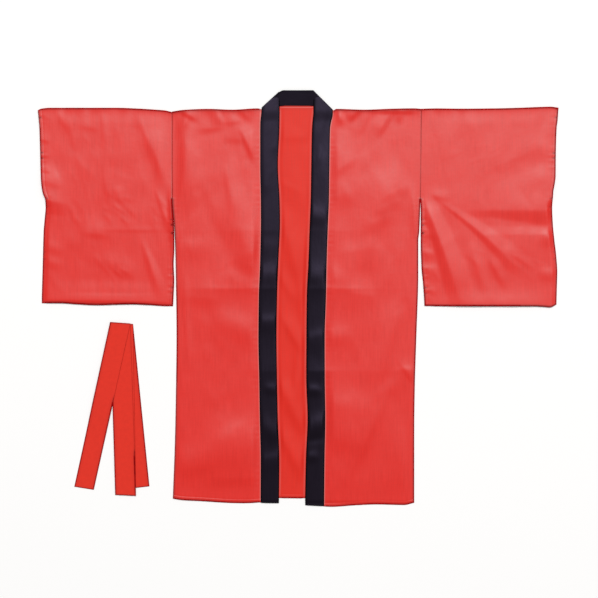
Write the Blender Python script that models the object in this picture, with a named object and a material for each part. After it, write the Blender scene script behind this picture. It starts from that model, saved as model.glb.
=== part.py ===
"""A happi coat of satin, laid flat on its back with the fronts closed in, and its belt beside it.

Every piece is cut cloth, 1 mm thick here, and lies on the one below it with a gap of 0.3 mm.
Sides are the wearer's own: the coat lies face up, so the wearer's right is at -X.
+Y runs up the coat from the hem to the collar and +Z up from the surface it lies on.
The origin is under the middle of the coat. The numbers below are millimetres.
"""

import math
from collections import namedtuple

import bmesh
import bpy
import numpy as np

MM = 0.001

# ---- Cloth and layers
WALL = 1.0
GAP = 0.3
LAYER = WALL + GAP
HIGHEST_LIFT = 3.4  # the most that an upper layer rises off the one below it
LIFT_SOFTNESS = 0.05  # square millimetres over which a lift levels off at zero
PUFF_SLEEVE = 1.1  # how far the upper layer stands off the lower one between the creases
PUFF_FRONT = 0.5
CROWN_BAND = 0.5  # the same along the middle of the collar band
FLAT_ANGLE = math.radians(0.1)  # faces that turn less than this are one face
SHARP_ANGLE = math.radians(35)

# ---- Coat
SHOULDER_Y = 472.0
BODY_HEM_Y = -510.0
SLEEVE_TOP_Y = 474.0
SLEEVE_FOOT_Y = -18.0
UNDERARM_Y = 250.0  # above this the sleeve is sewn to the body and its wrist is open; below, the reverse
SEAM_ALLOWANCE = 10.0  # how far the band's outer leaf alone reaches over a panel's edge
TUCK = 9.0  # how far the panel's edge runs in under it
FOLD_RIM = 1.5  # the part of a folded edge that is cloth right through
EDGE_PINCH = 0.5  # how far a folded or sewn edge is drawn together, which rounds it
ROW_STEP = 30.0
SLEEVE_ROW_STEP = 19.0
COLUMN_STEP = 17.5

HEM_DROP_FROM = 4.0  # past the back's hem the fronts and the collar come down to the surface
HEM_DROP_TO = 13.0
HEM_ROW_Y = -500.0

# How far in from each kind of edge an upper layer lies down on the one below it.
LIES_DOWN_AT_FOLD = 45.0
LIES_DOWN_AT_FOLD_CREASED = 16.0
LIES_DOWN_AT_SEAM = 22.0
LIES_DOWN_AT_SEWN_WRIST = 40.0
LIES_DOWN_AT_SIDE = 60.0
LIES_DOWN_AT_BAND = 50.0
LIES_DOWN_IN_STRIP = (4.0, 14.0)

# Creases that the coat kept from being folded in its packet. They cross both fronts and the collar.
PACKET_CREASES = dict(y=[168.6, 24.0, -182.0], rise=[1.5, 2.2, 1.8], spread=[11.0, 12.0, 11.0])

# Edges of the body. Each is how far across (x) it lies at a height up the coat (y), or the reverse.
RIGHT_SIDE = dict(
    y=[472, 250, 165, 105, -95, -250, -355, -500],
    x=[-314.5, -314.5, -308.5, -306.3, -303.5, -305.3, -307.5, -312.8],
)
LEFT_SIDE = dict(
    y=[472, 250, 165, 145, 65, -104, -215, -335, -510],
    x=[307.8, 305.4, 302.3, 300.0, 300.0, 295.0, 291.5, 290.0, 290.0],
)
SHOULDER = dict(  # it rises to the back of the neck between the turned corners of the collar
    x=[-314.5, -285, -225, -165, -100, -92, -43, -36, 26, 34, 88, 95, 165, 235, 290, 308],
    y=[466.5, 470.6, 473, 471, 474.3, 472.4, 477.9, 490.7, 490.7, 478, 469, 473, 471, 473.4, 474.4, 473],
)
BACK_COLUMNS = [-314.5, -250, -170, -100, -92, -43, -36, -18, -4, 10, 26, 34, 88, 95, 170, 240, 308]
FRONT_RIGHT_HEM = dict(
    x=[-313, -285, -245, -165, -135, -83],
    y=[-500.5, -504.5, -506.5, -511.5, -512, -509.5],
)
FRONT_LEFT_HEM = dict(x=[55, 80, 145, 195, 265, 290], y=[-519.5, -521, -517, -515, -516.5, -511])
BACK_HEM = dict(x=[-313, -50, 290], y=[-498.5, -499.5, -502.0])

# The collar band's four edges at each height: the seams to the fronts and the folded free edges.
COLLAR_EDGES = dict(
    y=[465, 420, 333, 245, 195, 95, 0, -100, -200, -300, -400, -500],
    right_seam=[-93.3, -94.5, -94.5, -93.0, -92.8, -94.5, -98.0, -99.0, -97.0, -95.5, -93.2, -93.5],
    right_fold=[-46.3, -47.2, -50.8, -46.5, -45.5, -49.5, -53.0, -54.3, -53.0, -51.0, -47.3, -48.0],
    left_fold=[38.5, 34.8, 33.3, 31.8, 29.8, 26.3, 22.0, 21.0, 20.8, 24.0, 19.8, 17.8],
    left_seam=[87.3, 79.5, 78.0, 76.8, 74.8, 71.3, 69.3, 66.3, 66.5, 67.8, 66.0, 65.0],
)
COLLAR_FOOT = dict(x=[-94, -48, 17, 65], y=[-511.0, -511.9, -516.9, -519.3])

# Round the neck the band turns over on two slanting folds and runs behind, above the shoulders.
# A row for each section across the band: its inner and its outer end.
NECK_SECTIONS = dict(
    inner_x=[-46.3, -45.0, -43.5, -32.0, 0.0, 26.0, 36.5, 38.0, 39.3],
    inner_y=[478.5, 480.0, 481.0, 481.0, 481.0, 481.0, 481.0, 480.0, 478.5],
    outer_x=[-92.5, -69.7, -47.0, -36.0, 0.0, 30.0, 39.3, 63.5, 88.0],
    outer_y=[473.0, 495.2, 516.5, 521.0, 521.0, 521.0, 520.5, 495.5, 470.0],
)
NECK_TURN_SECTIONS = 2  # sections at each end that lie in the turned-over corner

# Outlines of the sleeves, as the body's edges.
SLEEVE_RIGHT = dict(
    body=dict(
        y=[473, 250, 210, 165, 125, 85, 45, 5, -19],
        x=[-314.8, -314.8, -312.5, -309.8, -309.5, -311.3, -309.8, -311.5, -312.8],
    ),
    wrist=dict(
        y=[472, 450, 425, 385, 320, 285, 265, 245, 225, 205, 165, 85, 5],
        x=[-650, -648, -645.8, -644.5, -642.8, -640.8, -637.3, -631, -630.8, -632.5, -635.8, -638, -640.3],
    ),
    fold=dict(
        x=[-650, -641.5, -620, -455, -395, -355, -335, -315],
        y=[469.4, 473.4, 475.6, 475.6, 473.4, 470.9, 469.4, 465.2],
    ),
    foot=dict(
        x=[-640, -595, -555, -505, -415, -375, -328, -313],
        y=[-12.1, -12.1, -14.6, -17.1, -14.9, -16.6, -19.6, -19.4],
    ),
)
SLEEVE_LEFT = dict(
    body=dict(
        y=[473, 250, 215, 133, 85, 65, 45, 5, -17],
        x=[308.1, 305.7, 306.8, 307.0, 308.3, 309.5, 311.8, 314.8, 316.0],
    ),
    wrist=dict(
        y=[476, 445, 425, 365, 305, 285, 265, 225, 185, 145, 105, 65, 25, -15],
        x=[650, 647.8, 645.3, 643.3, 642.5, 640, 636.5, 634.8, 636.5, 640.3, 645, 647.5, 646.5, 645.5],
    ),
    fold=dict(
        x=[308, 340, 410, 490, 550, 610, 630, 650],
        y=[473.2, 474.1, 473.4, 474.1, 475.6, 477.9, 478.4, 475.9],
    ),
    foot=dict(x=[315, 360, 500, 590, 610, 630, 645.5], y=[-18.9, -19.6, -19.9, -19.9, -20.9, -22.4, -15.6]),
)

# The largest creases: a soft ridge, or a trough where the rise is below zero, along a line.
Crease = namedtuple("Crease", "from_x from_y to_x to_y rise spread")
SLEEVE_RIGHT_CREASES = [
    Crease(-389, 414, -316, 247, -1.3, 12),  # drag from the underarm up to the fold
    Crease(-365, 410, -318, 300, 1.0, 13),
    Crease(-358, 256, -323, 177, -1.2, 11),
    Crease(-389, 125, -350, 28, 1.8, 13),
    Crease(-613, 248, -612, 212, -1.2, 14),  # dent where the wrist opening ends
    Crease(-507, 92, -428, 48, 1.2, 16),
    Crease(-600, 27, -340, 27, 1.4, 13),  # roll along the foot seam
    Crease(-533, 170, -320, 170, 1.1, 12),
    Crease(-497, 463, -485, 255, 0.9, 12),
    Crease(-600, 447, -340, 447, 0.8, 14),  # roll along the top fold
]
SLEEVE_LEFT_CREASES = [
    Crease(325, 450, 615, 452, 1.0, 14),
    Crease(484, 318, 580, 357, -1.0, 13),
    Crease(482, 205, 632, 203, -1.4, 13),
    Crease(505, 168, 620, 168, 1.7, 13),
    Crease(321, 177, 382, 19, -1.5, 13),  # four drags fan out of the underarm
    Crease(332, 247, 400, 19, 2.4, 14),
    Crease(378, 226, 527, 133, 1.9, 14),
    Crease(396, 195, 518, 72, -1.3, 13),
    Crease(420, 150, 455, 30, 1.2, 14),
    Crease(340, 24, 620, 22, 0.8, 13),
]
FRONT_RIGHT_CREASES = [
    Crease(-258, 450, -258, 270, 1.2, 16),
    Crease(-165, 275, -165, 215, -0.9, 13),
    Crease(-144, 416, -114, 357, -1.2, 12),
    Crease(-245, 440, -160, 440, 0.9, 14),
    Crease(-157, -35, -150, -70, 1.2, 20),
    Crease(-165, -310, -170, -350, 1.2, 20),
    Crease(-235, -370, -250, -400, 1.1, 20),
    Crease(-262, -415, -255, -445, -0.9, 16),
    Crease(-300, -467, -275, -497, 0.9, 14),
]
FRONT_LEFT_CREASES = [
    Crease(97, 450, 160, 450, 0.9, 13),
    Crease(237, 455, 214, 424, -0.9, 12),
    Crease(260, 266, 185, 160, -1.3, 15),
    Crease(283, 250, 278, 160, -0.8, 12),
    Crease(247, -59, 194, -244, 1.4, 17),
    Crease(262, -184, 288, -190, 1.5, 14),
    Crease(230, -226, 132, -462, 1.3, 18),
    Crease(110, -70, 108, -100, 1.1, 20),
    Crease(132, -240, 130, -270, 1.1, 20),
]
BACK_CREASES = [  # only where the back shows between the bands
    Crease(-30, 142, -4, 28, 0.8, 10),
    Crease(-28, 3, -12, -49, 0.7, 10),
    Crease(0, -130, -25, -300, 0.8, 11),
    Crease(-20, -350, 0, -430, 0.7, 10),
]

# ---- Belt: one strip folded into four runs that lie on each other, the lowest first.
# Each run is a strip between a line across its head and one across its foot, left end then right
# end, with how high each corner lies above the surface.
Run = namedtuple("Run", "head_left head_right foot_left foot_right head_lifts foot_lifts")
BELT_HEAD_OUTER = ((-463.3, -62.2), (-412.8, -65.4))
BELT_HEAD_INNER = ((-469.3, -60.4), (-419.2, -63.9))
BELT_FOLD_FOOT = ((-456.5, -490.2), (-405.5, -492.8))
BELT_LOOSE_END_LOW = ((-421.0, -475.6), (-372.0, -469.9))
BELT_LOOSE_END_TOP = ((-559.0, -470.9), (-511.0, -478.6))
BELT_RUNS = [
    Run(*BELT_HEAD_OUTER, *BELT_LOOSE_END_LOW, (0, 0), (0, 0)),
    Run(*BELT_HEAD_OUTER, *BELT_FOLD_FOOT, (LAYER, LAYER), (LAYER, LAYER)),
    Run(*BELT_HEAD_INNER, *BELT_FOLD_FOOT, (2 * LAYER, 2 * LAYER), (2 * LAYER, 2 * LAYER)),
    Run(*BELT_HEAD_INNER, *BELT_LOOSE_END_TOP, (3 * LAYER, 3 * LAYER), (0, 0)),
]
BELT_DROP_FROM = 0.42  # the top run starts down to the surface this far along, past the run under it
BELT_DROP_TO = 0.75
BELT_ROWS = 12
FOLD_STEPS = 4

SATIN_RED = (0.74, 0.04, 0.03, 1.0)
SATIN_BLACK = (0.016, 0.013, 0.02, 1.0)
PLAIN_RED = (0.71, 0.035, 0.025, 1.0)


def clear_scene():
    for item in list(bpy.data.objects):
        bpy.data.objects.remove(item, do_unlink=True)


def cloth_material(name, colour, roughness):
    material = bpy.data.materials.new(name)
    material.use_nodes = True
    shader = material.node_tree.nodes["Principled BSDF"]
    shader.inputs["Base Color"].default_value = colour
    shader.inputs["Roughness"].default_value = roughness
    shader.inputs["Metallic"].default_value = 0.0
    return material


def look_up(table, by, want, value):
    """Column `want` of a table where column `by` has this value."""
    order = np.argsort(table[by])
    return np.interp(value, np.array(table[by], float)[order], np.array(table[want], float)[order])


def stations(start, end, step, extra=()):
    """Positions from start to end about a step apart, with the extra ones among them."""
    count = max(1, round(abs(end - start) / step))
    even = np.linspace(start, end, count + 1)
    extra = [e for e in extra if min(start, end) < e < max(start, end)]
    ends = (even[0], even[-1])
    kept = [p for p in even if p in ends or all(abs(p - e) > 0.4 * step for e in extra)]
    return np.array(sorted(kept + extra, reverse=end < start))


def body_rows():
    """Heights of the rows that the fronts, the back and the collar share, top to hem."""
    around = [c + d for c in PACKET_CREASES["y"] for d in (-24, -12, 0, 12, 24)]
    return stations(SHOULDER_Y, BODY_HEM_Y, ROW_STEP, around + [UNDERARM_Y, HEM_ROW_Y])


def packet_lift(y):
    total = np.zeros_like(np.asarray(y, float))
    for at, rise, spread in zip(*(PACKET_CREASES[c] for c in ("y", "rise", "spread"))):
        total = total + rise * np.exp(-(((y - at) / spread) ** 2))
    return total


def hem_drop(x, y, hem_rows):
    """How far the hem rows of a layer that reaches past the back's hem come down to the surface."""
    past = look_up(BACK_HEM, "x", "y", x) - y
    drop = np.zeros_like(x)
    drop[hem_rows] = LAYER * smooth_step(past, HEM_DROP_FROM, HEM_DROP_TO)[hem_rows]
    return drop


def crease_lift(creases, x, y):
    """Sum of the creases, each fading out past its two ends."""
    total = np.zeros_like(x)
    for c in creases:
        run = np.array([c.to_x - c.from_x, c.to_y - c.from_y])
        length = np.hypot(*run)
        along = ((x - c.from_x) * run[0] + (y - c.from_y) * run[1]) / length
        past = np.maximum(np.maximum(-along, along - length), 0)
        aside = ((x - c.from_x) * run[1] - (y - c.from_y) * run[0]) / length
        total += c.rise * np.exp(-((aside / c.spread) ** 2) - (past / (1.5 * c.spread)) ** 2)
    return total


def soft_limit(lift):
    """Keeps a lift above zero and under the highest, without a sharp stop."""
    above = 0.5 * (lift + np.sqrt(lift**2 + LIFT_SOFTNESS))
    return HIGHEST_LIFT * np.tanh(above / HIGHEST_LIFT)


def smooth_step(value, start, end):
    t = np.clip((value - start) / (end - start), 0, 1)
    return t * t * (3 - 2 * t)


def spread_grid(left, right, top, bottom, across, heights):
    """Plan positions x[i, j] and y[i, j] of a panel between its four edges.

    across runs 0 to 1 from the left edge; heights are nominal heights, top to bottom.
    """
    down = (heights[0] - heights) / (heights[0] - heights[-1])
    u, v = np.meshgrid(across, down, indexing="ij")
    y = heights[0] + (heights[-1] - heights[0]) * v
    for _ in range(2):
        x = look_up(left, "y", "x", y) * (1 - u) + look_up(right, "y", "x", y) * u
        y = look_up(top, "x", "y", x) * (1 - v) + look_up(bottom, "x", "y", x) * v
    return x, y


def layered_solid(name, x, y, levels, filled, material, parent):
    """A body of cells on a plan grid: filled[i, j, k] says that cloth fills level k to k + 1 there.

    x and y are the grid's plan positions and levels[i, j, k] its heights.
    """
    mesh = bmesh.new()
    made = {}
    columns, rows, slots = filled.shape
    corners_of_side = (
        ((1, 0, 0), ((1, 0, 0), (1, 1, 0), (1, 1, 1), (1, 0, 1))),
        ((-1, 0, 0), ((0, 0, 0), (0, 0, 1), (0, 1, 1), (0, 1, 0))),
        ((0, 1, 0), ((0, 1, 0), (0, 1, 1), (1, 1, 1), (1, 1, 0))),
        ((0, -1, 0), ((0, 0, 0), (1, 0, 0), (1, 0, 1), (0, 0, 1))),
        ((0, 0, 1), ((0, 0, 1), (1, 0, 1), (1, 1, 1), (0, 1, 1))),
        ((0, 0, -1), ((0, 0, 0), (0, 1, 0), (1, 1, 0), (1, 0, 0))),
    )

    def corner(i, j, k):
        if (i, j, k) not in made:
            place = (x[i, j] * MM, y[i, j] * MM, levels[i, j, k] * MM)
            made[i, j, k] = mesh.verts.new(place)
        return made[i, j, k]

    def is_filled(i, j, k):
        inside = 0 <= i < columns and 0 <= j < rows and 0 <= k < slots
        return inside and filled[i, j, k]

    for i, j, k in zip(*np.nonzero(filled)):
        for (di, dj, dk), corners in corners_of_side:
            if not is_filled(i + di, j + dj, k + dk):
                mesh.faces.new([corner(i + a, j + b, k + c) for a, b, c in corners])
    bmesh.ops.recalc_face_normals(mesh, faces=mesh.faces)
    bmesh.ops.dissolve_limit(mesh, angle_limit=FLAT_ANGLE, verts=mesh.verts, edges=mesh.edges)
    return add_object(name, mesh, material, parent)


def add_object(name, mesh, material, parent):
    data = bpy.data.meshes.new(name)
    mesh.to_mesh(data)
    mesh.free()
    data.shade_smooth()
    data.set_sharp_from_angle(angle=SHARP_ANGLE)
    data.materials.append(material)
    made = bpy.data.objects.new(name, data)
    bpy.context.scene.collection.objects.link(made)
    made.parent = parent
    return made


def pinch(levels, edge):
    """Draws the levels of one edge of a grid together, which rounds a folded or sewn edge."""
    middle = 0.5 * (levels[edge][..., :1] + levels[edge][..., -1:])
    levels[edge] = middle + (levels[edge] - middle) * (1 - EDGE_PINCH)


def front_panel(name, side, hem, seam, sign, creases, material, parent):
    """One front. Its inner edge runs in under the collar band by the seam allowance."""
    heights = body_rows()
    inner = dict(y=COLLAR_EDGES["y"], x=[s - sign * TUCK for s in COLLAR_EDGES[seam]])
    left, right = (side, inner) if sign < 0 else (inner, side)
    width = abs(look_up(side, "y", "x", 0.0) - look_up(inner, "y", "x", 0.0))
    across = stations(0.0, 1.0, COLUMN_STEP / width, [TUCK / width if sign > 0 else 1 - TUCK / width])
    x, y = spread_grid(left, right, SHOULDER, hem, across, heights)
    seam_x = look_up(COLLAR_EDGES, "y", seam, y)
    clear = smooth_step(np.abs(x) - np.abs(seam_x), COLUMN_STEP, LIES_DOWN_AT_BAND)
    edge = smooth_step(np.abs(look_up(side, "y", "x", y) - x), 0.0, LIES_DOWN_AT_SIDE)
    own = soft_limit(PUFF_FRONT * edge + crease_lift(creases, x, y)) * clear
    under = LAYER - hem_drop(x, y, np.s_[:, -1]) + np.minimum(packet_lift(y) + own, HIGHEST_LIFT)
    levels = np.stack([under, under + WALL], axis=-1)
    filled = np.ones((len(across) - 1, len(heights) - 1, 1), bool)
    return layered_solid(name, x, y, levels, filled, material, parent)


def back_panel(material, parent):
    """The back, flat underneath, with low creases where it shows between the bands."""
    heights = body_rows()
    columns = np.array(BACK_COLUMNS)
    across = (columns - columns[0]) / (columns[-1] - columns[0])
    x, y = spread_grid(RIGHT_SIDE, LEFT_SIDE, SHOULDER, BACK_HEM, across, heights)
    in_strip = smooth_step(x - look_up(COLLAR_EDGES, "y", "right_fold", y), *LIES_DOWN_IN_STRIP)
    in_strip *= smooth_step(look_up(COLLAR_EDGES, "y", "left_fold", y) - x, *LIES_DOWN_IN_STRIP)
    relief = np.maximum(crease_lift(BACK_CREASES, x, y), 0) * in_strip
    levels = np.stack([np.zeros_like(x), WALL + relief], axis=-1)
    filled = np.ones((len(across) - 1, len(heights) - 1, 1), bool)
    return layered_solid("back", x, y, levels, filled, material, parent)


def sleeve(name, outline, creases, sign, material, parent):
    """One sleeve: a flattened tube, open at the wrist's upper part and along the body side."""
    heights = stations(SLEEVE_TOP_Y, SLEEVE_FOOT_Y, SLEEVE_ROW_STEP, [UNDERARM_Y])
    rim = FOLD_RIM / (SLEEVE_TOP_Y - SLEEVE_FOOT_Y)
    down = (heights[0] - heights) / (heights[0] - heights[-1])
    down = np.concatenate([[0, rim], down[1:-1], [1 - rim, 1]])
    heights = heights[0] + (heights[-1] - heights[0]) * down
    left, right = (outline["wrist"], outline["body"]) if sign < 0 else (outline["body"], outline["wrist"])
    width = abs(look_up(left, "y", "x", UNDERARM_Y) - look_up(right, "y", "x", UNDERARM_Y))
    across = stations(0.0, 1.0, COLUMN_STEP / width)
    wrist_rim = FOLD_RIM / width
    across = np.sort(np.append(across, wrist_rim if sign < 0 else 1 - wrist_rim))
    x, y = spread_grid(left, right, outline["fold"], outline["foot"], across, heights)
    from_fold = look_up(outline["fold"], "x", "y", x) - y
    from_foot = y - look_up(outline["foot"], "x", "y", x)
    from_body = np.abs(x - look_up(outline["body"], "y", "x", y))
    from_wrist = np.abs(look_up(outline["wrist"], "y", "x", y) - x)
    from_closed = np.minimum(from_fold, from_foot)
    below_opening = smooth_step(UNDERARM_Y - y, 0.0, LIES_DOWN_AT_SEAM)
    at_wrist = 1 - below_opening * (1 - smooth_step(from_wrist, 0.0, LIES_DOWN_AT_SEWN_WRIST))
    puff = PUFF_SLEEVE * smooth_step(from_closed, 0.0, LIES_DOWN_AT_FOLD) * at_wrist
    held = smooth_step(from_body, 0.0, LIES_DOWN_AT_SEAM)
    held *= smooth_step(from_closed, 0.0, LIES_DOWN_AT_FOLD_CREASED) * at_wrist
    lift = soft_limit(puff + crease_lift(creases, x, y)) * held
    levels = np.stack([np.zeros_like(x), np.full_like(x, WALL), LAYER + lift, LAYER + lift + WALL], axis=-1)
    columns, rows = len(across) - 1, len(heights) - 1
    filled = np.ones((columns, rows, 3), bool)
    filled[:, 1:-1, 1] = False
    wrist_column = 0 if sign < 0 else -1
    sewn_rows = heights[:-1] <= UNDERARM_Y
    filled[wrist_column, sewn_rows, 1] = True
    pinch(levels, np.s_[:, 0])
    pinch(levels, np.s_[:, -1])
    return layered_solid(name, x, y, levels, filled, material, parent)


def leg_sections(fold, seam):
    """Inner and outer ends of the band's sections along one front, hem first, on the front's rows."""
    heights = body_rows()
    down = ((heights[0] - heights) / (heights[0] - heights[-1]))[1:]
    ends = []
    for edge in (fold, seam):
        y = heights[1:]
        for _ in range(2):
            x = look_up(COLLAR_EDGES, "y", edge, y)
            top = look_up(SHOULDER, "x", "y", x) if edge == seam else SHOULDER_Y
            y = top * (1 - down) + look_up(COLLAR_FOOT, "x", "y", x) * down
        ends.append(np.stack([x, y], axis=-1)[::-1])
    return ends[0], ends[1]


def collar(material, parent):
    """The collar: one strip folded double, sewn to the fronts and turned over at the neck points.

    Along a front it has an inner and an outer leaf, joined at the free fold, with the front's
    allowance between them. Behind the neck it has two leaves too, which lie under the others
    in the turned corners, so there are four leaves there.
    """
    right_inner, right_outer = leg_sections("right_fold", "right_seam")
    left_inner, left_outer = leg_sections("left_fold", "left_seam")
    neck_inner = np.stack([NECK_SECTIONS["inner_x"], NECK_SECTIONS["inner_y"]], axis=-1)
    neck_outer = np.stack([NECK_SECTIONS["outer_x"], NECK_SECTIONS["outer_y"]], axis=-1)
    inner = np.concatenate([right_inner, neck_inner, left_inner[::-1]])
    outer = np.concatenate([right_outer, neck_outer, left_outer[::-1]])
    legs, count = len(right_inner), len(inner)
    first_turn, last_turn = legs, count - legs - 1

    width = np.hypot(*(outer - inner).T)[:, None]
    from_inner = np.array([0, FOLD_RIM, SEAM_ALLOWANCE])
    offsets = np.concatenate(
        [np.repeat(from_inner[None], count, axis=0), width / 2, width - from_inner[::-1]], axis=1
    )
    share = (offsets / width)[..., None]
    plan = inner[:, None] * (1 - share) + outer[:, None] * share
    x, y = plan[..., 0], plan[..., 1]

    lift = packet_lift(y)
    crown = np.zeros_like(x)
    crown[:, crown.shape[1] // 2] = CROWN_BAND
    raised = np.zeros(count)
    raised[first_turn : last_turn + 1] = LAYER
    base = LAYER - hem_drop(x, y, np.s_[[0, -1]]) + raised[:, None] + lift
    starts = [np.zeros_like(x), np.full_like(x, LAYER), base, base + LAYER + crown]
    levels = np.stack([edge for start in starts for edge in (start, start + WALL)], axis=-1)

    turn_rows = np.r_[first_turn : first_turn + NECK_TURN_SECTIONS, last_turn - 1 : last_turn + 1]
    pinch(levels, np.s_[: first_turn + 1, 0, 4:])
    pinch(levels, np.s_[last_turn:, 0, 4:])
    pinch(levels, np.s_[first_turn + NECK_TURN_SECTIONS : last_turn - 1, -1, :4])
    levels[turn_rows, -1] = levels[turn_rows, -1] * (1 - EDGE_PINCH) + 2 * LAYER * EDGE_PINCH

    leaf = dict(behind_low=0, gap_behind=1, behind_high=2, gap_between=3, inner=4, gap=5, outer=6)
    sections, columns = count - 1, x.shape[1] - 1
    filled = np.zeros((sections, columns, len(leaf)), bool)
    on_leg = np.ones(sections, bool)
    on_leg[first_turn:last_turn] = False
    in_turn = np.zeros(sections, bool)
    in_turn[first_turn : first_turn + NECK_TURN_SECTIONS] = True
    in_turn[last_turn - NECK_TURN_SECTIONS : last_turn] = True
    behind = ~on_leg & ~in_turn
    overlap = 2  # columns that the allowance takes
    filled[on_leg | in_turn, :, leaf["outer"]] = True
    filled[on_leg, :-overlap, leaf["inner"]] = True
    filled[in_turn, :, leaf["inner"]] = True
    filled[on_leg | in_turn, 0, leaf["gap"]] = True
    filled[~on_leg, :, leaf["behind_high"]] = True
    filled[behind, overlap:, leaf["behind_low"]] = True
    filled[in_turn, :, leaf["behind_low"]] = True
    filled[~on_leg, -1, leaf["gap_behind"]] = True
    filled[in_turn, -1, leaf["gap_between"]] = True
    filled[in_turn, -1, leaf["gap"]] = True
    for foot in (0, -1):
        filled[foot, :-overlap, leaf["gap"]] = True
    for last in (first_turn + NECK_TURN_SECTIONS - 1, last_turn - NECK_TURN_SECTIONS):
        filled[last, :, leaf["gap"]] = True
    return layered_solid("collar", x, y, levels, filled, material, parent)


def belt_sections():
    """Sections of the belt's middle surface in order: its two ends, their heights and its normal."""
    for number, run in enumerate(BELT_RUNS):
        climbs = number % 2 == 0
        facing = 1.0 if climbs else -1.0
        is_top = number == len(BELT_RUNS) - 1
        head = np.array([run.head_left, run.head_right])
        foot = np.array([run.foot_left, run.foot_right])
        for t in np.linspace(0, 1, BELT_ROWS + 1):
            down = 1 - t if climbs else t
            drop = smooth_step(down, BELT_DROP_FROM, BELT_DROP_TO) if is_top else down
            ends = head * (1 - down) + foot * down
            lifts = np.array(run.head_lifts) * (1 - drop) + np.array(run.foot_lifts) * drop
            middle = lifts + WALL / 2
            yield ends, middle, np.array([0.0, 0.0, facing])
        if is_top:
            return
        across = ends[1] - ends[0]
        outward = np.array([-across[1], across[0]]) / np.hypot(*across) * facing
        for turn in np.linspace(0, math.pi, FOLD_STEPS + 1)[1:-1]:
            bulge = outward * LAYER / 2 * math.sin(turn)
            rise = LAYER / 2 * (1 - math.cos(turn))
            normal = facing * np.array([*(-outward * math.sin(turn)), math.cos(turn)])
            yield ends + bulge, middle + rise, normal


def belt(material, parent):
    """The belt: one strip swept through its four runs, with half a turn at each fold."""
    mesh = bmesh.new()
    rings = []
    for ends, middle, normal in belt_sections():
        points = np.column_stack([ends, middle])
        out, back = points + normal * WALL / 2, points - normal * WALL / 2
        rings.append([mesh.verts.new(p * MM) for p in (out[0], out[1], back[1], back[0])])
    for a, b in zip(rings, rings[1:]):
        for n in range(4):
            m = (n + 1) % 4
            mesh.faces.new([a[n], a[m], b[m], b[n]])
    mesh.faces.new(rings[0][::-1])
    mesh.faces.new(rings[-1])
    bmesh.ops.recalc_face_normals(mesh, faces=mesh.faces)
    return add_object("belt", mesh, material, parent)


def main():
    clear_scene()
    coat = bpy.data.objects.new("happi_coat", None)
    bpy.context.scene.collection.objects.link(coat)
    red = ("red satin", SATIN_RED, 0.42)
    fronts = (
        ("front_right", RIGHT_SIDE, FRONT_RIGHT_HEM, "right_seam", -1, FRONT_RIGHT_CREASES),
        ("front_left", LEFT_SIDE, FRONT_LEFT_HEM, "left_seam", 1, FRONT_LEFT_CREASES),
    )
    sleeves = (
        ("sleeve_right", SLEEVE_RIGHT, SLEEVE_RIGHT_CREASES, -1),
        ("sleeve_left", SLEEVE_LEFT, SLEEVE_LEFT_CREASES, 1),
    )
    back_panel(cloth_material(*red), coat)
    for front in fronts:
        front_panel(*front, cloth_material(*red), coat)
    for each in sleeves:
        sleeve(*each, cloth_material(*red), coat)
    collar(cloth_material("black satin", SATIN_BLACK, 0.4), coat)
    belt(cloth_material("red plain weave", PLAIN_RED, 0.8), coat)


main()
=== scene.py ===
"""The looks of a satin happi coat laid flat on its back, and of the belt that lies beside it.

Each piece of cloth is a thin closed shell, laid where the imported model's solid of that piece lies.
Sides are the wearer's own: the coat lies face up, so the wearer's right is at -X, +Y runs up the
coat from its hem to its collar, and +Z up from the floor. Sizes below are millimetres, and MM
turns them into the frame's metres.
"""

import logging
import math
from dataclasses import dataclass
from enum import Enum

import bpy
import numpy as np
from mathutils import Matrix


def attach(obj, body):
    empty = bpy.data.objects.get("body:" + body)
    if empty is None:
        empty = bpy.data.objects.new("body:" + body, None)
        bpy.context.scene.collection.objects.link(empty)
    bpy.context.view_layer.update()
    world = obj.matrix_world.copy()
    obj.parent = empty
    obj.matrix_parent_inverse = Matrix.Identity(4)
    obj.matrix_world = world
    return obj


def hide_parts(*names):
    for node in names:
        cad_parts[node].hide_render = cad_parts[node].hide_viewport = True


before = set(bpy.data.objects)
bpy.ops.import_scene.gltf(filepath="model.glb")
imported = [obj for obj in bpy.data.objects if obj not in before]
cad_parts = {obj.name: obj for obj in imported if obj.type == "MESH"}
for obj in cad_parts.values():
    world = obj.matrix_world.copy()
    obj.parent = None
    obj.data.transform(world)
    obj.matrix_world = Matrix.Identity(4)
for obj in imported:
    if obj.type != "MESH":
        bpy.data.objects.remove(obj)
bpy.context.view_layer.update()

log = logging.getLogger("happi_coat")

Array = np.ndarray
Point = tuple[float, float]
Material = bpy.types.Material
Socket = bpy.types.NodeSocket

MM = 0.001
BODY = "root"

# ---- Cloth and how its layers lie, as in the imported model
LAYER = 1.3  # from one layer of cloth to the next
SATIN_THICKNESS = 0.45  # one thickness of satin, pressed
TURN_RADIUS = LAYER / 2  # of a fold from one layer to the next
TUCK = 9.0  # how far a panel runs in under the collar band
HIGHEST_LIFT = 15.0  # the most that an upper layer rises off the one below it
HEM_DEPTH = 9.0  # the hems are turned up this far and sewn
STITCH_LIFT = 0.3  # from the middle of the cloth's thickness to a stitch

# ---- Finished edges, with painted shade along them
EDGE_WIDTH = 2.9  # of the matt strip along an edge, dark with painted shade, seen from above
EDGE_SHARE = 0.43  # cloth whose rim value is above this takes the edge's material, dark with painted shade
HEM_RIM = 3.2  # how far in from a hem its painted shade fades
TURNED_RIM = 3.4  # the same for an edge that is turned in

# Distances in from an edge at which a grid needs a line: the round rim, the strip of painted shade, the hem.
RIM_MARKS = [TURN_RADIUS * (1 - math.cos(math.radians(a))) for a in (0, 30, 60, 90)] + [EDGE_WIDTH, 3.6]
HEM_MARKS = RIM_MARKS + [6.0] + [HEM_DEPTH + past for past in (-1.4, -0.5, 0.4, 1.4, 3.5)]

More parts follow.
